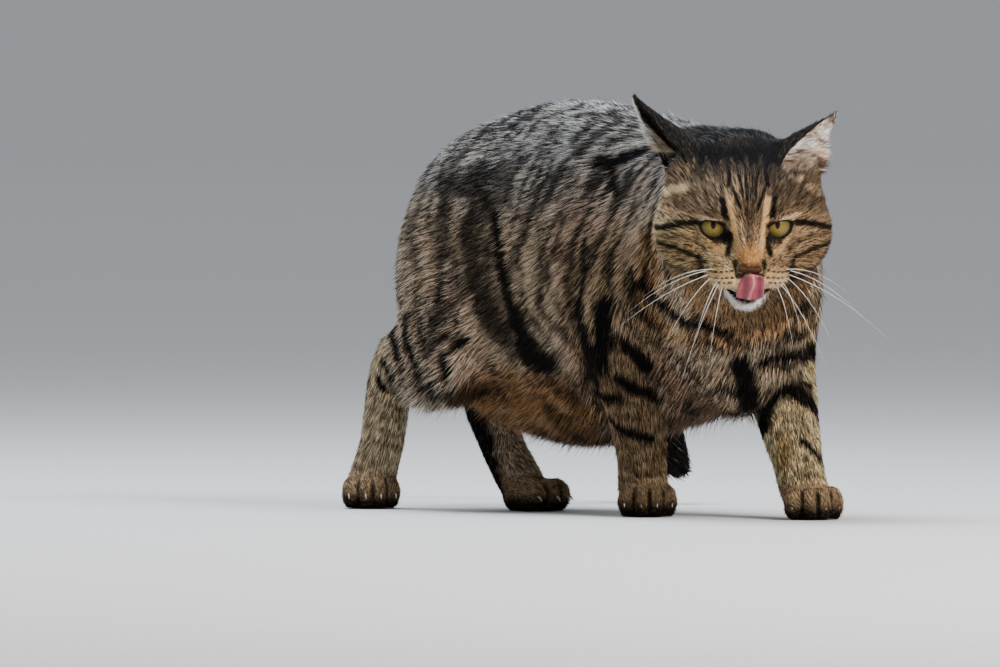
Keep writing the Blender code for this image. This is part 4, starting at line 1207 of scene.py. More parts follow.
def hair_colours(places, parts, facing, rng):
    """The colours of a hair at its root, its middle and its tip, for each point."""
    masks = markings(places, parts, facing)
    dark, rust, pale, white, silver_and_sky_sheen, pink, painted_sky_sheen, fawn = (mask[:, None] for mask in masks)

    def on(*starts):
        return in_part(parts, *starts)[:, None]

    light = mix(np.where(on("head"), TAN * FACE_CAST, TAN), SILVER_AND_SKY_SHEEN, silver_and_sky_sheen)
    light = np.where(on("paw", "lower", "upper_leg_fore_right"), light * OLIVE_CAST, light)
    light = mix(light, RUST, rust)
    light = mix(light, np.where(on("head", "ear"), CREAM, SAND), np.clip(pale, 0, 1))
    light = with_ear_hair(mix(light, WHITE, white), places, parts, pink, rng)
    light = mix(light, mix(FAWN, GOLD, rust), fawn)
    calm = np.clip(strongest(pale, fawn, white, pink * 0.8), 0, 1)
    light = mix(light * coat_tone_and_painted_light(places, parts), light, calm)
    # The roots are dark, or a darkened light colour where the coat is calm: painted shade deep in the coat.
    # The same dark is the black tip of ticked hairs.
    shade = mix(TICK_AND_ROOT_SHADE, light * mix(0.45, 0.9, np.maximum(white, pale * on("head"))), calm)
    # Painted sky sheen tints the roots of the dark hairs high on the back.
    shade = mix(shade, SKY_SHEEN_INK * 2, painted_sky_sheen * (1 - calm) * 0.6)
    # Light hairs, hairs with a black tip, and dark hairs, each kind in loose clumps.
    clump = np.where(in_part(parts, "head", "paw"), noise(places, 1.3, 62), noise(places, 1.7, 61))[:, None]
    kind = rng.random((len(places), 1)) + 0.5 * (clump - 0.5)
    vigour = rng.random((len(places), 1))
    contrast = np.where(on("head"), 0.85, np.where(on("lower"), 0.7, 1.0))
    contrast = np.where(on("paw"), 0.5, contrast) * (1 - 0.75 * calm)
    glow = np.where(kind > LIGHT_HAIR, 1.45 + 0.8 * vigour, np.where(kind > DARK_HAIR, 0.62, 0.16))
    mid = light * mix(1.0, glow, contrast)
    tip = np.where(kind > LIGHT_HAIR, mid * 1.15, shade)
    tip = np.minimum(mix(mid, tip, np.minimum(contrast * 1.3, 1)), 0.92)
    cover = np.clip(dark * mix(0.92, 1.35, rng.random((len(places), 1))), 0, 1)
    ink = mix(INK, SKY_SHEEN_INK, painted_sky_sheen)
    # The stripes' ink is darkest at the roots: painted shade deep in the coat.
    return [mix(colour, ink * scale, cover) for colour, scale in ((shade, 0.6), (mid, 1.3), (tip, 1.0))]


print("ground brightness from", coat_tone_and_painted_light(points, parts).min(), "to", coat_tone_and_painted_light(points, parts).max())

# %% [markdown]
# ## The coat
# A still model's fur has to be solid. Each tuft is a closed spike. Short hair takes a straight one of
# four triangles. The tail's longer hair takes a spindle of six, which rises from its root to a ring of
# three points, bends there, and runs on to a tip that lies along the body. They are built as arrays, a
# whole piece at a time, because there are almost four hundred thousand of them.

# %% Where hair grows
STRAIGHT_FACES = np.array(((0, 2, 1), (0, 1, 3), (1, 2, 3), (2, 0, 3)))
BENT_FACES = np.array(((0, 2, 1), (0, 3, 2), (0, 1, 3), (4, 1, 2), (4, 2, 3), (4, 3, 1)))
PATCH = 0.003  # the size of a tuft on the map for baking, where the whole map is 1
STRAIGHT_PATCH = np.array(((-0.5, -0.4), (0.5, -0.4), (0.0, -0.1), (0.0, 0.5))) * PATCH
BENT_PATCH = np.array(((0, -0.5), (-0.5, -0.1), (0.5, -0.1), (0.0, 0.1), (0, 0.5))) * PATCH


def bare_skin(places):
    """0 where no hair grows: in the eyes, on the nose, in the mouth, behind the tongue, under the soles."""
    grows = np.ones(len(places))
    for side in (LEFT, RIGHT):
        spot, reach = eye_places(places, side)
        grows[(reach < 1.04) & (span(spot) < 16)] = 0
    local = to_head(places)
    left, back, up = local.T
    nose_pad = (np.abs(left + 0.3) < 8.6) & (np.abs(up + 18.9) < 2.6) & (back < -24)
    behind_tongue = (np.abs(left + 0.8) < 8.5) & (up < -19) & (up > -36) & (back < -30)
    grows[nose_pad | behind_tongue | (mouth_openness(local) > 0.02) | (places[:, 2] < 0.8)] = 0
    return grows


def areas_of(chosen):
    """The areas of the chosen triangles of the skin, in square millimetres."""
    a, b, c = (points[triangles[chosen, k]] for k in range(3))
    return span(np.cross(b - a, c - a)) / 2


def planted(chosen, count, rng):
    """Spreads roots over the chosen triangles, as many to each as its area and its density ask for."""
    share = areas_of(chosen) * growth[triangles[chosen], 4].mean(1)
    share = share * bare_skin(points[triangles[chosen]].mean(1))
    total = np.cumsum(share)
    pick = np.searchsorted(total, (np.arange(count) + rng.random(count)) / count * total[-1])
    corner = triangles[chosen[np.minimum(pick, len(chosen) - 1)]]
    first = 1 - np.sqrt(rng.random(count))
    second = rng.random(count) * (1 - first)
    return corner, np.stack((1 - first - second, first, second), axis=1)


print("skin points that stay bare", int((bare_skin(points) == 0).sum()), "of", len(points))

# %% How each tuft lies
STRAYS = 0.03  # the share of tufts that stand out of the coat
SHORT_SWIRL, LONG_SWIRL = 0.3, 0.36  # how far waves of noise turn short hairs, and the others


def lean_of_coat(root, normal, part, kind, rng):
    """Each tuft's way to lie, its length, its width and its lift."""
    on = partial(in_part, part)
    count = len(root)
    lie = kind[:, 5:8]
    length = kind[:, 1] * mix(0.7, 1.25, rng.random(count))
    width = kind[:, 2] * mix(0.8, 1.2, rng.random(count))
    lift = np.radians(kind[:, 3] * mix(0.6, 1.4, rng.random(count)))
    # Round the eyes, the nose and the mouth hairs are short, and they point away from the eyes.
    for side in (LEFT, RIGHT):
        spot, reach = eye_places(root, side)
        close = np.where(span(spot) < 20, np.exp(-((reach - 1) / 0.4)), 0)
        close = np.clip(close, 0, 1)
        outward = unit(root - eye_middles[side] + eye_axes(side)[:, 1] * 9)
        lie = mix(lie, outward, (0.85 * close)[:, None])
        length = length * mix(1.0, 0.36, close)
    local = to_head(root)
    left, back, up = local.T
    near_nose = 1 - fade(span(local - (0, -34, -14)), 10, 44)
    length = length * mix(1.0, 0.45, np.where(on("head"), near_nose, 0))
    length = length * mix(0.45, 1.0, fade(-mouth_openness(local + (0, 0, -3.0)), -0.1, -0.02))
    # Below the belly, the chest and the knee hairs are longer and hang.
    fringe = fade(-normal[:, 2], 0.3, 0.9)
    fringe = np.where(on("belly", "chest"), fringe, np.where(on("upper"), fringe * 0.6, 0))
    stifle = np.where(on("upper_leg_hind", "belly", "rump"), fade(-root[:, 2], -96, -80), 0)
    fringe = np.maximum(fringe, stifle * fade(root[:, 1], 30, 60))
    length = length * (1 + 0.9 * fringe)
    # In the ears' hollows they are long too, and lie towards the middle of the head.
    to_tip = np.minimum(*(span(local - tip) for tip in EAR_TIPS))
    inside = ear_inside(root, part, normal) * fade(to_tip, 6, 34)
    length = length * (1 + inside * mix(1.1, 0.5, fade(left, -5, 5)) * fade(-up, -58, -44))
    lift = lift + fringe * 0.45 + inside * 0.25
    inwards = np.where((root @ across > head_origin @ across)[:, None], across, -across)
    lie = mix(lie, unit(inwards - (0, 0, 0.25)), (0.8 * inside)[:, None])
    stray = rng.random(count) < STRAYS
    length = np.where(stray, length * 1.25, length) * (1 - 0.5 * all_toe_gaps(root, part))
    lift = np.where(stray, lift * 1.5, lift)
    amount = np.where(on("head", "ear", "paw"), SHORT_SWIRL, LONG_SWIRL)[:, None]
    broad, small = (
        np.stack([noise(root, size, seed + axis) - 0.5 for axis in range(3)], axis=1)
        for size, seed in ((11.0, 40), (2.6, 50))
    )
    lie = unit(lie) + (broad + small * 0.8) * amount + rng.normal(0, 0.09, (count, 3))
    lie = unit(lie - normal * (lie * normal).sum(1, keepdims=True))
    return lie, length, width, lift


def mesh_from_arrays(name, vertices, faces):
    """A smooth mesh of triangles, from points in millimetres."""
    mesh = bpy.data.meshes.new(name)
    mesh.vertices.add(len(vertices))
    mesh.vertices.foreach_set("co", (vertices * MM).astype(np.float32).ravel())
    mesh.loops.add(faces.size)
    mesh.loops.foreach_set("vertex_index", faces.astype(np.int32).ravel())
    mesh.polygons.add(len(faces))
    mesh.polygons.foreach_set("loop_start", np.arange(0, faces.size, 3, dtype=np.int32))
    smooth(mesh)
    mesh.update(calc_edges=True)
    return linked(name, mesh)


def paint(mesh, colours):
    """Keeps a colour at each point as the attribute that the materials read."""
    layer = mesh.color_attributes.new("pelage", "FLOAT_COLOR", "POINT")
    layer.data.foreach_set("color", np.insert(colours, 3, 1.0, axis=1).astype(np.float32).ravel())


def add_map(mesh, spots, name="OFBake"):
    """A UV map that gives each point its spot."""
    corner = numbers_of(mesh.loops, "vertex_index", 1, np.int32)[:, 0]
    layer = mesh.uv_layers.new(name=name)
    layer.data.foreach_set("uv", spots[corner].astype(np.float32).ravel())


print("a straight tuft has", len(STRAIGHT_FACES), "triangles, and a bent one", len(BENT_FACES))

# %% Make one piece of the coat
FLOOR_GAP = 0.05  # no hair comes nearer to the floor than this
BENT_SINK, STRAIGHT_SINK = 0.3, 0.2  # how deep a tuft's root stands in the skin
BEND_AT = 0.4  # where a bent tuft bends, as a share of its length
STRAIGHT_LIFT = 0.72  # how steeply a straight tuft rises, as a share of a bent one's lift
MAP_MARGIN = 0.01


def tufts(name, chosen, count, bent, unwrap, seed):
    """One piece of the coat: its roots, its shapes, its colours and its map for baking."""
    rng = np.random.default_rng(seed)
    corner, weights = planted(chosen, count, rng)

    def at(values):
        shape = weights.reshape(*weights.shape, *([1] * (values.ndim - 1)))
        return (values[corner] * shape).sum(1)

    root, normal = at(points), unit(at(normals))
    part = parts[corner[np.arange(count), weights.argmax(1)]]
    kind = np.hstack((at(growth), at(lies)))
    lie, length, width, lift = lean_of_coat(root, normal, part, kind, rng)
    half = np.cross(normal, lie) * (width / 2)[:, None]
    seen = root + normal * kind[:, :1] + lie * (length * 0.5)[:, None]
    at_root, at_mid, at_tip = hair_colours(seen, part, normal, rng)
    if bent:
        rise = lie * np.cos(lift)[:, None] + normal * np.sin(lift)[:, None]
        late = lift * mix(-0.1, 0.55, rng.random(count))
        run = lie * np.cos(late)[:, None] + normal * np.sin(late)[:, None]
        bend = root + rise * (length * BEND_AT)[:, None]
        tip = bend + run * (length * (1 - BEND_AT))[:, None]
        crest = bend + normal * (width * 0.4)[:, None]
        foot = root - normal * BENT_SINK
        corners = np.stack((foot, bend - half, bend + half, crest, tip), axis=1)
        colours = np.stack((at_root, at_mid, at_mid, at_mid, at_tip), axis=1)
        faces, patch = BENT_FACES, BENT_PATCH
    else:
        lift = lift * STRAIGHT_LIFT
        run = lie * np.cos(lift)[:, None] + normal * np.sin(lift)[:, None]
        foot = root - normal * STRAIGHT_SINK
        crest = foot + normal * (width * 0.7)[:, None]
        corners = np.stack((foot - half, foot + half, crest, foot + run * length[:, None]), axis=1)
        low = mix(at_root, at_mid, 0.6)
        colours = np.stack((low, low, low, at_tip), axis=1)
        faces, patch = STRAIGHT_FACES, STRAIGHT_PATCH
    corners[:, :, 2] = np.maximum(corners[:, :, 2], FLOOR_GAP)
    faces = np.arange(count)[:, None, None] * corners.shape[1] + faces
    made = mesh_from_arrays(name, corners.reshape(-1, 3), faces.reshape(-1, 3))
    paint(made.data, colours.reshape(-1, 3))
    spots = (MAP_MARGIN + (1 - 2 * MAP_MARGIN) * unwrap(root))[:, None, :] + patch
    add_map(made.data, spots.reshape(-1, 2))
    return made


def filled(values):
    """Values spread so that they run from 0 to 1."""
    return (values - values.min()) / max(np.ptp(values), 1e-6)


def round_axis(start, end, share=(0.0, 1.0), fill=False):
    """An unwrap about an axis: the angle round it one way and the distance along it the other.

    fill spreads the angles of one side of the body over the whole map.
    """
    start, end = np.asarray(start, float), np.asarray(end, float)
    along = unit(end - start)
    side = unit(np.cross(along, (0.3, 0.2, 1.0)))
    up = np.cross(side, along)

    def unwrap(places):
        away = places - start
        angle = mix(*share, np.arctan2(away @ up, away @ side) / (2 * np.pi) + 0.5)
        return np.stack((filled(angle) if fill else angle, filled(away @ along)), axis=1)

    return unwrap


def round_legs(legs):
    """The legs' unwraps side by side, each about its own axis."""
    ends = [(middle(leg_nodes(leg)[0]), middle(leg_nodes(leg)[2])) for leg in legs]

    def unwrap(places):
        nearest = np.argmin([span(places - (top + foot) / 2) for top, foot in ends], axis=0)
        flat = np.zeros((len(places), 2))
        for number, (top, foot) in enumerate(ends):
            share = (number / len(legs), (number + 1) / len(legs))
            flat[nearest == number] = round_axis(top, foot, share)(places[nearest == number])
        return flat

    return unwrap


head_axis = round_axis(from_head((0, 60, 0)), from_head((0, -40, -10)))
trunk_axis = round_axis(middle("chest"), middle("rump"))
trunk_half = round_axis(middle("chest"), middle("rump"), fill=True)
tail_axis = round_axis(middle("tail_base"), middle("tail_tip"))
print("the trunk's map fills", np.ptp(trunk_axis(points), axis=0).round(2))

# %% The coat's pieces
centre = points[triangles].mean(1)
face_part = parts[triangles[:, 0]]
head_local = to_head(centre)
is_head = in_part(face_part, "head", "ear")
is_face = in_part(face_part, "head") & (head_local[:, 1] < 12)
is_trunk = in_part(face_part, "belly", "rump")
right_side = centre[:, 0] < MIDLINE
ahead_half = centre[:, 1] < 20
fore = in_part(face_part, "upper_leg_fore", "lower_leg_fore", "paw_fore")
hind = in_part(face_part, "upper_leg_hind", "lower_leg_hind", "paw_hind")
# Each piece: its triangles of skin, its number of tufts, whether they bend, and its unwrap.
COAT = {
    "coat_face": (is_face, 46_000, False, head_axis),
    "coat_head": (is_head & ~is_face, 26_000, False, head_axis),
    "coat_neck": (in_part(face_part, "neck"), 36_000, False, trunk_axis),
    "coat_chest": (in_part(face_part, "chest"), 34_000, False, trunk_axis),
    "coat_flank_right": (is_trunk & right_side & ahead_half, 38_000, False, trunk_half),
    "coat_rump_right": (is_trunk & right_side & ~ahead_half, 40_000, False, trunk_half),
    "coat_flank_left": (is_trunk & ~right_side, 45_000, False, trunk_half),
    "coat_forelegs": (fore, 48_000, False, round_legs(LEG_NAMES[2:])),
    "coat_hindlegs": (hind, 49_000, False, round_legs(LEG_NAMES[:2])),
    "coat_tail": (in_part(face_part, "tail"), 10_000, True, tail_axis),
}
coat = []
for number, (name, (mask, count, bent, unwrap)) in enumerate(COAT.items()):
    chosen = np.flatnonzero(mask)
    piece = tufts(name, chosen, count, bent, unwrap, 100 + number)
    coat.append(piece)
    thickness = count / areas_of(chosen).sum()
    print(name, len(piece.data.polygons), "triangles,", thickness.round(2), "tufts to a square mm")

# %% The coat's finish, and the skin's
LID_RIM = np.array((0.010, 0.007, 0.006))
BRIGHT = (0.7, (1.0, 1.0, 1.0))

coat_finish = finish(
    "coat", 900.0, ((0.3, (0.72, 0.72, 0.72)), BRIGHT), Roughness=(0.5, 0.75), Specular_IOR_Level=0.07
)
for piece in coat:
    dress(piece, coat_finish)
skin_finish = finish(
    "skin", 700.0, ((0.3, (0.55, 0.55, 0.55)), BRIGHT), detail=3.0, stretch=(1.0, 0.25, 1.0),
    relief=(0.0008, None), Roughness=0.75, Specular_IOR_Level=0.08,
)
dress(skin, skin_finish)

seen = points + normals * depth[:, None]
at_root, at_mid, at_tip = hair_colours(seen, parts, normals, np.random.default_rng(5))
rims = [fade(mouth_openness(to_head(points)), 0.2, 0.6)]
for side in (LEFT, RIGHT):
    local, reach = eye_places(points, side)
    rims.append(np.where(span(local) < 16, 1 - fade(reach, 1.04, 1.12), 0))
# The skin takes the roots' colour, darkened further: painted shade under the coat, and black on the rims of
# the lids and lips.
paint(skin.data, mix(at_root * 0.45 + at_mid * 0.25, LID_RIM, strongest(*rims)[:, None]))
print("skin points on the dark rims of lids and lips", int((strongest(*rims) > 0.5).sum()))

# %% [markdown]
# ## The eyes
# A cat's eye shows a wet ball with a bulging clear front over a flat iris. Here the ball and the front
# are one closed shape, spun round the way the cat looks, and its map carries the iris and the slit of the
# pupil.

# %% Eyeballs
GAZE_ASIDE = {LEFT: math.radians(7), RIGHT: math.radians(-6)}
CORNEA_RISE = 0.9
EYE_GAP = 0.35  # the ball is this much smaller than the lids' inner side
EYE_RINGS, EYE_SPOKES = 40, 64


def eyeball(name, side):
    """A ball with a bulging front, spun round the way the eye looks, whose map shows the iris face on."""
    ball = EYE_RADIUS - EYE_GAP
    polar = np.linspace(0, np.pi, EYE_RINGS)[1:-1]
    turn = np.arange(EYE_SPOKES) / EYE_SPOKES * 2 * np.pi
    polar, turn = np.meshgrid(polar, turn, indexing="ij")
    radius = ball + CORNEA_RISE * (1 - fade(polar, 0.2, 0.95))
    flat = radius * np.sin(polar)
    body = np.stack((flat * np.cos(turn), -radius * np.cos(polar), flat * np.sin(turn)), axis=-1)
    body = body.reshape(-1, 3)
    local = np.vstack((body, ((0, -(ball + CORNEA_RISE), 0), (0, ball, 0))))
    faces = []
    for a, b, c, d in cells(EYE_RINGS - 2, EYE_SPOKES):
        faces += [(a, c, b), (b, c, d)]
    front, back, last = len(body), len(body) + 1, len(body) - EYE_SPOKES
    for spoke in range(EYE_SPOKES):
        following = (spoke + 1) % EYE_SPOKES
        faces += [(front, spoke, following), (back, last + following, last + spoke)]
    # Its axes turn so that -y is the line of sight.
    axes = np.array(Matrix.Rotation(CAMERA_YAW - math.pi / 2 + GAZE_ASIDE[side], 3, "Z"))
    made = mesh_from_arrays(name, local @ axes.T + eye_middles[side], np.array(faces))
    add_map(made.data, local[:, (0, 2)] / (2 * EYE_RADIUS) + 0.5, "iris_map")
    return made


def eye_finish():
    """Slit pupil, fibrous olive iris, dark ring and brownish white, from the map's middle outwards."""
    material, tree, shader = new_material("eye")

    def vector(operation, *values):
        node = add_node(tree, "VectorMath", dict(enumerate(values)), operation=operation)
        return node.outputs["Value" if operation == "LENGTH" else 0]

    place = add_node(tree, "UVMap", uv_map="iris_map").outputs["UV"]
    centred = vector("SUBTRACT", place, (0.5, 0.5, 0))
    direction = vector("NORMALIZE", centred)
    fibres = add_node(tree, "TexNoise", {"Vector": direction, "Scale": 14.0, "Detail": 4.0}).outputs["Fac"]
    iris = ramp(
        tree, vector("LENGTH", centred),
        (0.00, (0.15, 0.094, 0.018)), (0.14, (0.20, 0.130, 0.026)), (0.24, (0.17, 0.124, 0.030)),
        (0.34, (0.10, 0.085, 0.024)), (0.38, (0.030, 0.024, 0.008)), (0.42, (0.006, 0.005, 0.004)),
    )
    tone = ramp(tree, fibres, (0.35, (0.66, 0.66, 0.60)), (0.65, (1.0, 1.0, 1.0)))
    height = add_node(tree, "SeparateXYZ", {"Vector": place}).outputs["Y"]
    # The top of the iris is darker: painted shadow of the upper lid.
    painted_lid_shadow = ramp(tree, height, (0.40, (1.0, 1.0, 1.0)), (0.66, (0.45, 0.47, 0.50)))
    colour = blend_colour(tree, blend_colour(tree, iris, tone, 1.0, "MULTIPLY"), painted_lid_shadow, 1.0, "MULTIPLY")
    slit = vector("LENGTH", vector("MULTIPLY", centred, (1.25, 0.70, 0)))
    pupil = add_node(tree, "MapRange", {"Value": slit, "From Min": 0.080, "From Max": 0.092})
    colour = blend_colour(tree, (0.003, 0.003, 0.003, 1), colour, pupil.outputs["Result"])
    tree.links.new(colour, shader.inputs["Base Color"])
    values = {"Roughness": 0.25, "Specular IOR Level": 0.10, "Coat Weight": 0.08, "Coat Roughness": 0.03}
    for word, value in values.items():
        shader.inputs[word].default_value = value
    return material


eye_material = eye_finish()
eyes = {LEFT: eyeball("eyeball_left", LEFT), RIGHT: eyeball("eyeball_right", RIGHT)}
for eye in eyes.values():
    dress(eye, eye_material)
    print(eye.name, len(eye.data.polygons), "triangles, middle", points_of(eye.data).mean(0).round(1))

# %% [markdown]
# ## Nose and tongue
# Both are bare and wet. They start from their CAD solids, remeshed finely, and get what the solids leave
# out: the nostrils and the pebbled leather of the nose, and the groove and the fine rasp of the tongue.

# %% Nose
NOSE_MIDDLE = -0.3
NOSE_WIDEN = ((-21, 2.6), (-18, 2.2), (-16, 1.3), (-14, 0.8))  # height in head space, and how much wider
NOSE_TUCK = 5.0
NOSTRIL_ASIDE, NOSTRIL_HEIGHT, NOSTRIL_SLANT = 5.6, -19.4, 0.25
NOSTRIL_DEPTH, CREASE_DEPTH = 2.0, 0.7
NOSE_BROWN = np.array((0.048, 0.018, 0.007))
NOSE_DARK = np.array((0.014, 0.008, 0.006))


def bare_piece(node, name, overlap, voxel, rounds):
    """A CAD node remeshed finely and melted smooth, and its points in head space."""
    made = fused(grown_nodes([node], overlap), name, voxel)
    smooth(made.data)
    return made, to_head(relaxed(points_of(made.data), edges_of(made.data), rounds))


nose, local = bare_piece("nose", "nose_leather", 0.1, 0.3, 14)
left, back, up = local.T
left[:] = (left - left.mean()) * read_off(up, NOSE_WIDEN) + NOSE_MIDDLE
back += NOSE_TUCK * fade(up, -16.4, -14.0)
from_middle = np.abs(left - NOSE_MIDDLE)
aside = from_middle - NOSTRIL_ASIDE
nostril = np.hypot(aside / 2.2, up - NOSTRIL_HEIGHT + NOSTRIL_SLANT * aside)
back += NOSTRIL_DEPTH * (1 - fade(nostril, 0.4, 1.1)) * (back < -28)
back += CREASE_DEPTH * np.exp(-((from_middle / 0.5) ** 2)) * (up < -18)
put_points(nose.data, from_head(local))
# The leather darkens towards its bottom edge, and the nostrils carry painted shade.
dark_base_and_nostril_shade = strongest(fade(-up, 17.4, 20.2), 1 - fade(nostril, 0.7, 1.4))
paint(nose.data, mix(NOSE_BROWN, NOSE_DARK, dark_base_and_nostril_shade[:, None]))
dress(nose, finish(
    "nose_leather", 260.0, ((0.35, (0.7, 0.66, 0.64)), (0.65, (1.0, 1.0, 1.0))), relief=(0.0004, 1600.0),
    Roughness=0.6, Specular_IOR_Level=0.14,
))
print("nose", len(nose.data.polygons), "faces,", np.ptp(left).round(1), "mm wide")

# %% Tongue
# Height in head space, and half the tongue's width there, its middle and its ridge.
TONGUE_OUTLINE = (
    (-38.2, 1.2), (-36.8, 4.2), (-35.2, 8.2), (-33, 9.0), (-28, 8.8), (-24, 8.7), (-21.5, 8.1), (-19, 7.0),
)
TONGUE_MIDDLE = ((-38, 0.2), (-28, 0.1), (-24, 0.6), (-20, 1.6))
TONGUE_RIDGE = ((-36, -0.6), (-30, 0.4), (-25, 1.9), (-21, 1.4))
TONGUE_HALF_WIDTH = 9.0
TONGUE_PINK = np.array((0.37, 0.056, 0.070))
TONGUE_HOLLOW_SHADE = np.array((0.14, 0.011, 0.028))
TONGUE_RIDGE_HIGHLIGHT = np.array((0.56, 0.20, 0.19))

tongue, local = bare_piece("tongue", "tongue_flesh", 0.15, 0.4, 20)
left, back, up = local.T
left[:] = (left + 0.9) * read_off(up, TONGUE_OUTLINE) / TONGUE_HALF_WIDTH + read_off(up, TONGUE_MIDDLE)
ridge = np.exp(-(((left - read_off(up, TONGUE_RIDGE)) / 0.8) ** 2))
lobes = np.exp(-(((left + 3.2) / 3.0) ** 2)) + np.exp(-(((left - 5.6) / 2.4) ** 2))
back += (0.9 * lobes - 0.7 * ridge) * (fade(-back, 24, 30) * fade(-up, 20, 23))
put_points(tongue.data, from_head(local))
# The tongue's two hollows carry painted shade, and its ridge a painted highlight.
tints = mix(TONGUE_PINK, TONGUE_HOLLOW_SHADE, np.clip(lobes * 1.1, 0, 1)[:, None])
paint(tongue.data, mix(tints, TONGUE_RIDGE_HIGHLIGHT, (0.8 * ridge)[:, None]))
dress(tongue, finish(
    "tongue", 180.0, ((0.35, (0.72, 0.66, 0.68)), (0.65, (1.0, 1.0, 1.0))), detail=3.0,
    relief=(0.0003, 1100.0), Roughness=0.35, Subsurface_Weight=0.04,
    Subsurface_Radius=(0.003, 0.0012, 0.0008),
))
print("tongue", len(tongue.data.polygons), "faces,", np.ptp(left).round(1), "mm wide")

# %% [markdown]
# ## Whiskers
# A whisker is a long stiff hair that thins to nothing and droops a little. Geometry Nodes sweep a round
# profile along drawn lines: each line carries its own thickness, so one tree makes them all.

# %% Whisker lines
# Where each whisker leaves the pad and where its tip hangs, in head space, on the cat's right side.
WHISKERS = (
    ((-23, -26, -19), (-58, -16, -36)),
    ((-25, -24, -23), (-86, -30, -62)),
    ((-24, -25, -25), (-58, -34, -72)),
    ((-19, -30, -27), (-46, -42, -88)),
    ((-17, -31, -29), (-24, -42, -72)),
    ((-20, -29, -26), (-32, -40, -64)),
    ((-26, -22, -21), (-70, -10, -50)),
)
WHISKER_STEPS = 14
WHISKER_RADIUS = 0.20
WHISKER_TAPER = 0.88  # how much thinner its tip is than its root
WHISKER_ARCH = np.array((0, -1.5, 5.0))
BEND_BACK = np.array((0.64, 0.77, 0.0))  # the way a whisker bends where it would stand too far out
whisker_reach = np.array(cad_box[0]) / MM - (13, 18, 0)  # how far across and forward a tip may stand
rng = np.random.default_rng(9)
line_points, line_edges, line_radii = [], [], []
for side in (LEFT, RIGHT):
    for ends in WHISKERS:
        start, end = np.array(ends, float) * (-side, 1, 1)
        end = start + (end - start) * mix(0.85, 1.1, rng.random()) + rng.normal(0, 2.5, 3)
        t = np.linspace(0, 1, WHISKER_STEPS)[:, None]
        drawn = from_head(mix(start, end, t) + WHISKER_ARCH * 4 * t * (1 - t))
        stray = np.max(np.maximum(whisker_reach - drawn, 0)[:, :2] / BEND_BACK[:2])
        first = len(line_points)
        line_points.extend(drawn + BEND_BACK * stray * t**2)
        line_edges.extend((first + step, first + step + 1) for step in range(WHISKER_STEPS - 1))
        line_radii.extend((WHISKER_RADIUS * (1 - WHISKER_TAPER * t[:, 0])) * MM)
whisker_mesh = bpy.data.meshes.new("whiskers")
whisker_mesh.from_pydata(np.array(line_points) * MM, line_edges, [])
thickness = whisker_mesh.attributes.new("thickness", "FLOAT", "POINT")
thickness.data.foreach_set("value", np.array(line_radii, np.float32))
whiskers = linked("whiskers", whisker_mesh)
print("whiskers", 2 * len(WHISKERS), "from", len(line_points), "points")

# %% Sweep the whiskers
WHISKER_SIDES = 8


def sweep_tree(material):
    """A node tree that turns edges into round tubes as thick as their attribute says."""
    group = bpy.data.node_groups.new("sweep_hairs", "GeometryNodeTree")
    group.interface.new_socket("Geometry", in_out="INPUT", socket_type="NodeSocketGeometry")
    sides = group.interface.new_socket("Sides", in_out="INPUT", socket_type="NodeSocketInt")
    group.interface.new_socket("Geometry", in_out="OUTPUT", socket_type="NodeSocketGeometry")

    def node(kind, **inputs):
        made = group.nodes.new(kind)
        for name, value in inputs.items():
            fill(group, made.inputs[name.replace("_", " ")], value)
        return made

    source = node("NodeGroupInput")
    curves = node("GeometryNodeMeshToCurve", Mesh=source.outputs["Geometry"]).outputs["Curve"]
    stored = node("GeometryNodeInputNamedAttribute", Name="thickness").outputs["Attribute"]
    circle = node("GeometryNodeCurvePrimitiveCircle", Resolution=source.outputs["Sides"], Radius=1.0)
    profile = circle.outputs["Curve"]
    swept = node("GeometryNodeCurveToMesh", Curve=curves, Profile_Curve=profile, Scale=stored)
    swept.inputs["Fill Caps"].default_value = True
    real = node("GeometryNodeRealizeInstances", Geometry=swept.outputs["Mesh"])
    dressed = node("GeometryNodeSetMaterial", Geometry=real.outputs["Geometry"], Material=material)
    group.links.new(dressed.outputs["Geometry"], node("NodeGroupOutput").inputs["Geometry"])
    return group, sides.identifier


whisker_finish = finish(
    "whisker_horn", 300.0, ((0.3, (0.52, 0.49, 0.45)), (0.7, (0.74, 0.72, 0.69))), painted=False,
    Roughness=0.35,
)
group, sides_key = sweep_tree(whisker_finish)
sweep = whiskers.modifiers.new("sweep", "NODES")
sweep.node_group = group
sweep[sides_key] = WHISKER_SIDES
applied(whiskers)
print("whiskers", len(whiskers.data.polygons), "faces")

# %% Claws
# Each claw is a slim curved horn that comes out of its toe's hair and points down. Its path is how far
# ahead and up each ring stands, and the ring's radius.
CLAW_SIDES = 8
CLAW_PATH = np.array(
    ((-4.5, -0.4, 0.8), (-2.5, -0.8, 0.8), (-1.0, -1.6, 0.65), (0.0, -2.8, 0.45), (0.3, -4.0, 0.06))
)
CLAW_FLATNESS = 0.7
CLAWS_DRAWN_BACK = {"fore_left": 3.2, "fore_right": 2.4, "hind_left": 0.0, "hind_right": 0.0}
UP = np.array((0, 0, 1.0))


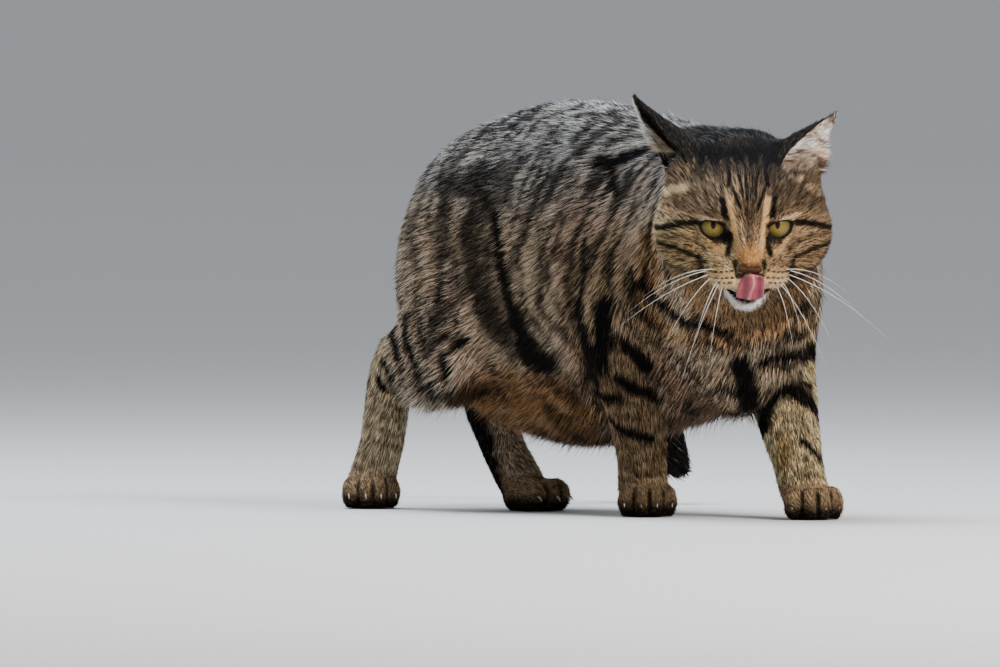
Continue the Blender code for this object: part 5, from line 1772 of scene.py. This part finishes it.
def claw_corners(root, forward):
    """One claw's points: rings along its path."""
    side_way = np.cross(forward, UP)
    turns = np.arange(CLAW_SIDES)[:, None] * 2 * np.pi / CLAW_SIDES
    runs = unit(np.gradient(CLAW_PATH[:, :2], axis=0))
    rings = []
    for (ahead_way, height, radius), (run_ahead, run_up) in zip(CLAW_PATH, runs):
        over = UP * run_ahead - forward * run_up
        ring = np.cos(turns) * side_way * CLAW_FLATNESS + np.sin(turns) * over
        rings.append(root + forward * ahead_way + UP * height + radius * ring)
    return np.vstack(rings)


claw_faces = []
for a, b, c, d in cells(len(CLAW_PATH), CLAW_SIDES):
    claw_faces += [(a, b, d), (a, d, c)]
last = (len(CLAW_PATH) - 1) * CLAW_SIDES
for spoke in range(1, CLAW_SIDES - 1):
    claw_faces += [(0, spoke + 1, spoke), (last, last + spoke, last + spoke + 1)]
claw_names, claw_points = [], []
for leg in LEG_NAMES:
    roots = claw_roots(leg)
    forward = np.cross(unit((roots[3] - roots[0]) * (1, 1, 0)), UP)
    for number, root in enumerate(roots, 1):
        claw_names.append(f"claw_{leg}_{number}")
        claw_points.append(claw_corners(root - forward * CLAWS_DRAWN_BACK[leg], forward))
firsts = np.arange(len(claw_points))[:, None, None] * len(claw_points[0])
claws = mesh_from_arrays("claws", np.vstack(claw_points), (firsts + claw_faces).reshape(-1, 3))
dress(claws, finish(
    "claw_horn", 500.0, ((0.3, (0.32, 0.28, 0.22)), (0.7, (0.55, 0.50, 0.42))), painted=False, Roughness=0.3
))
print("claws", len(claws.data.polygons), "faces")

# %% Hand every piece to the frame
# Each piece with its slot and the nodes it stands for. Nothing moves, so all of them ride the root.
PIECES = [
    (skin, "coat", flesh), (eyes[LEFT], "eye", ["eye_left"]), (eyes[RIGHT], "eye", ["eye_right"]),
    (nose, "nose_leather", ["nose"]), (tongue, "tongue", ["tongue"]), (claws, "horn", claw_names),
    (whiskers, "horn", []), *((piece, "coat", []) for piece in coat),
]
for piece, slot, nodes in PIECES:
    if nodes:
        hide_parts(*nodes)
    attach(piece, "root")
    print(piece.name, "slot", slot, "stands for", len(nodes), "nodes")
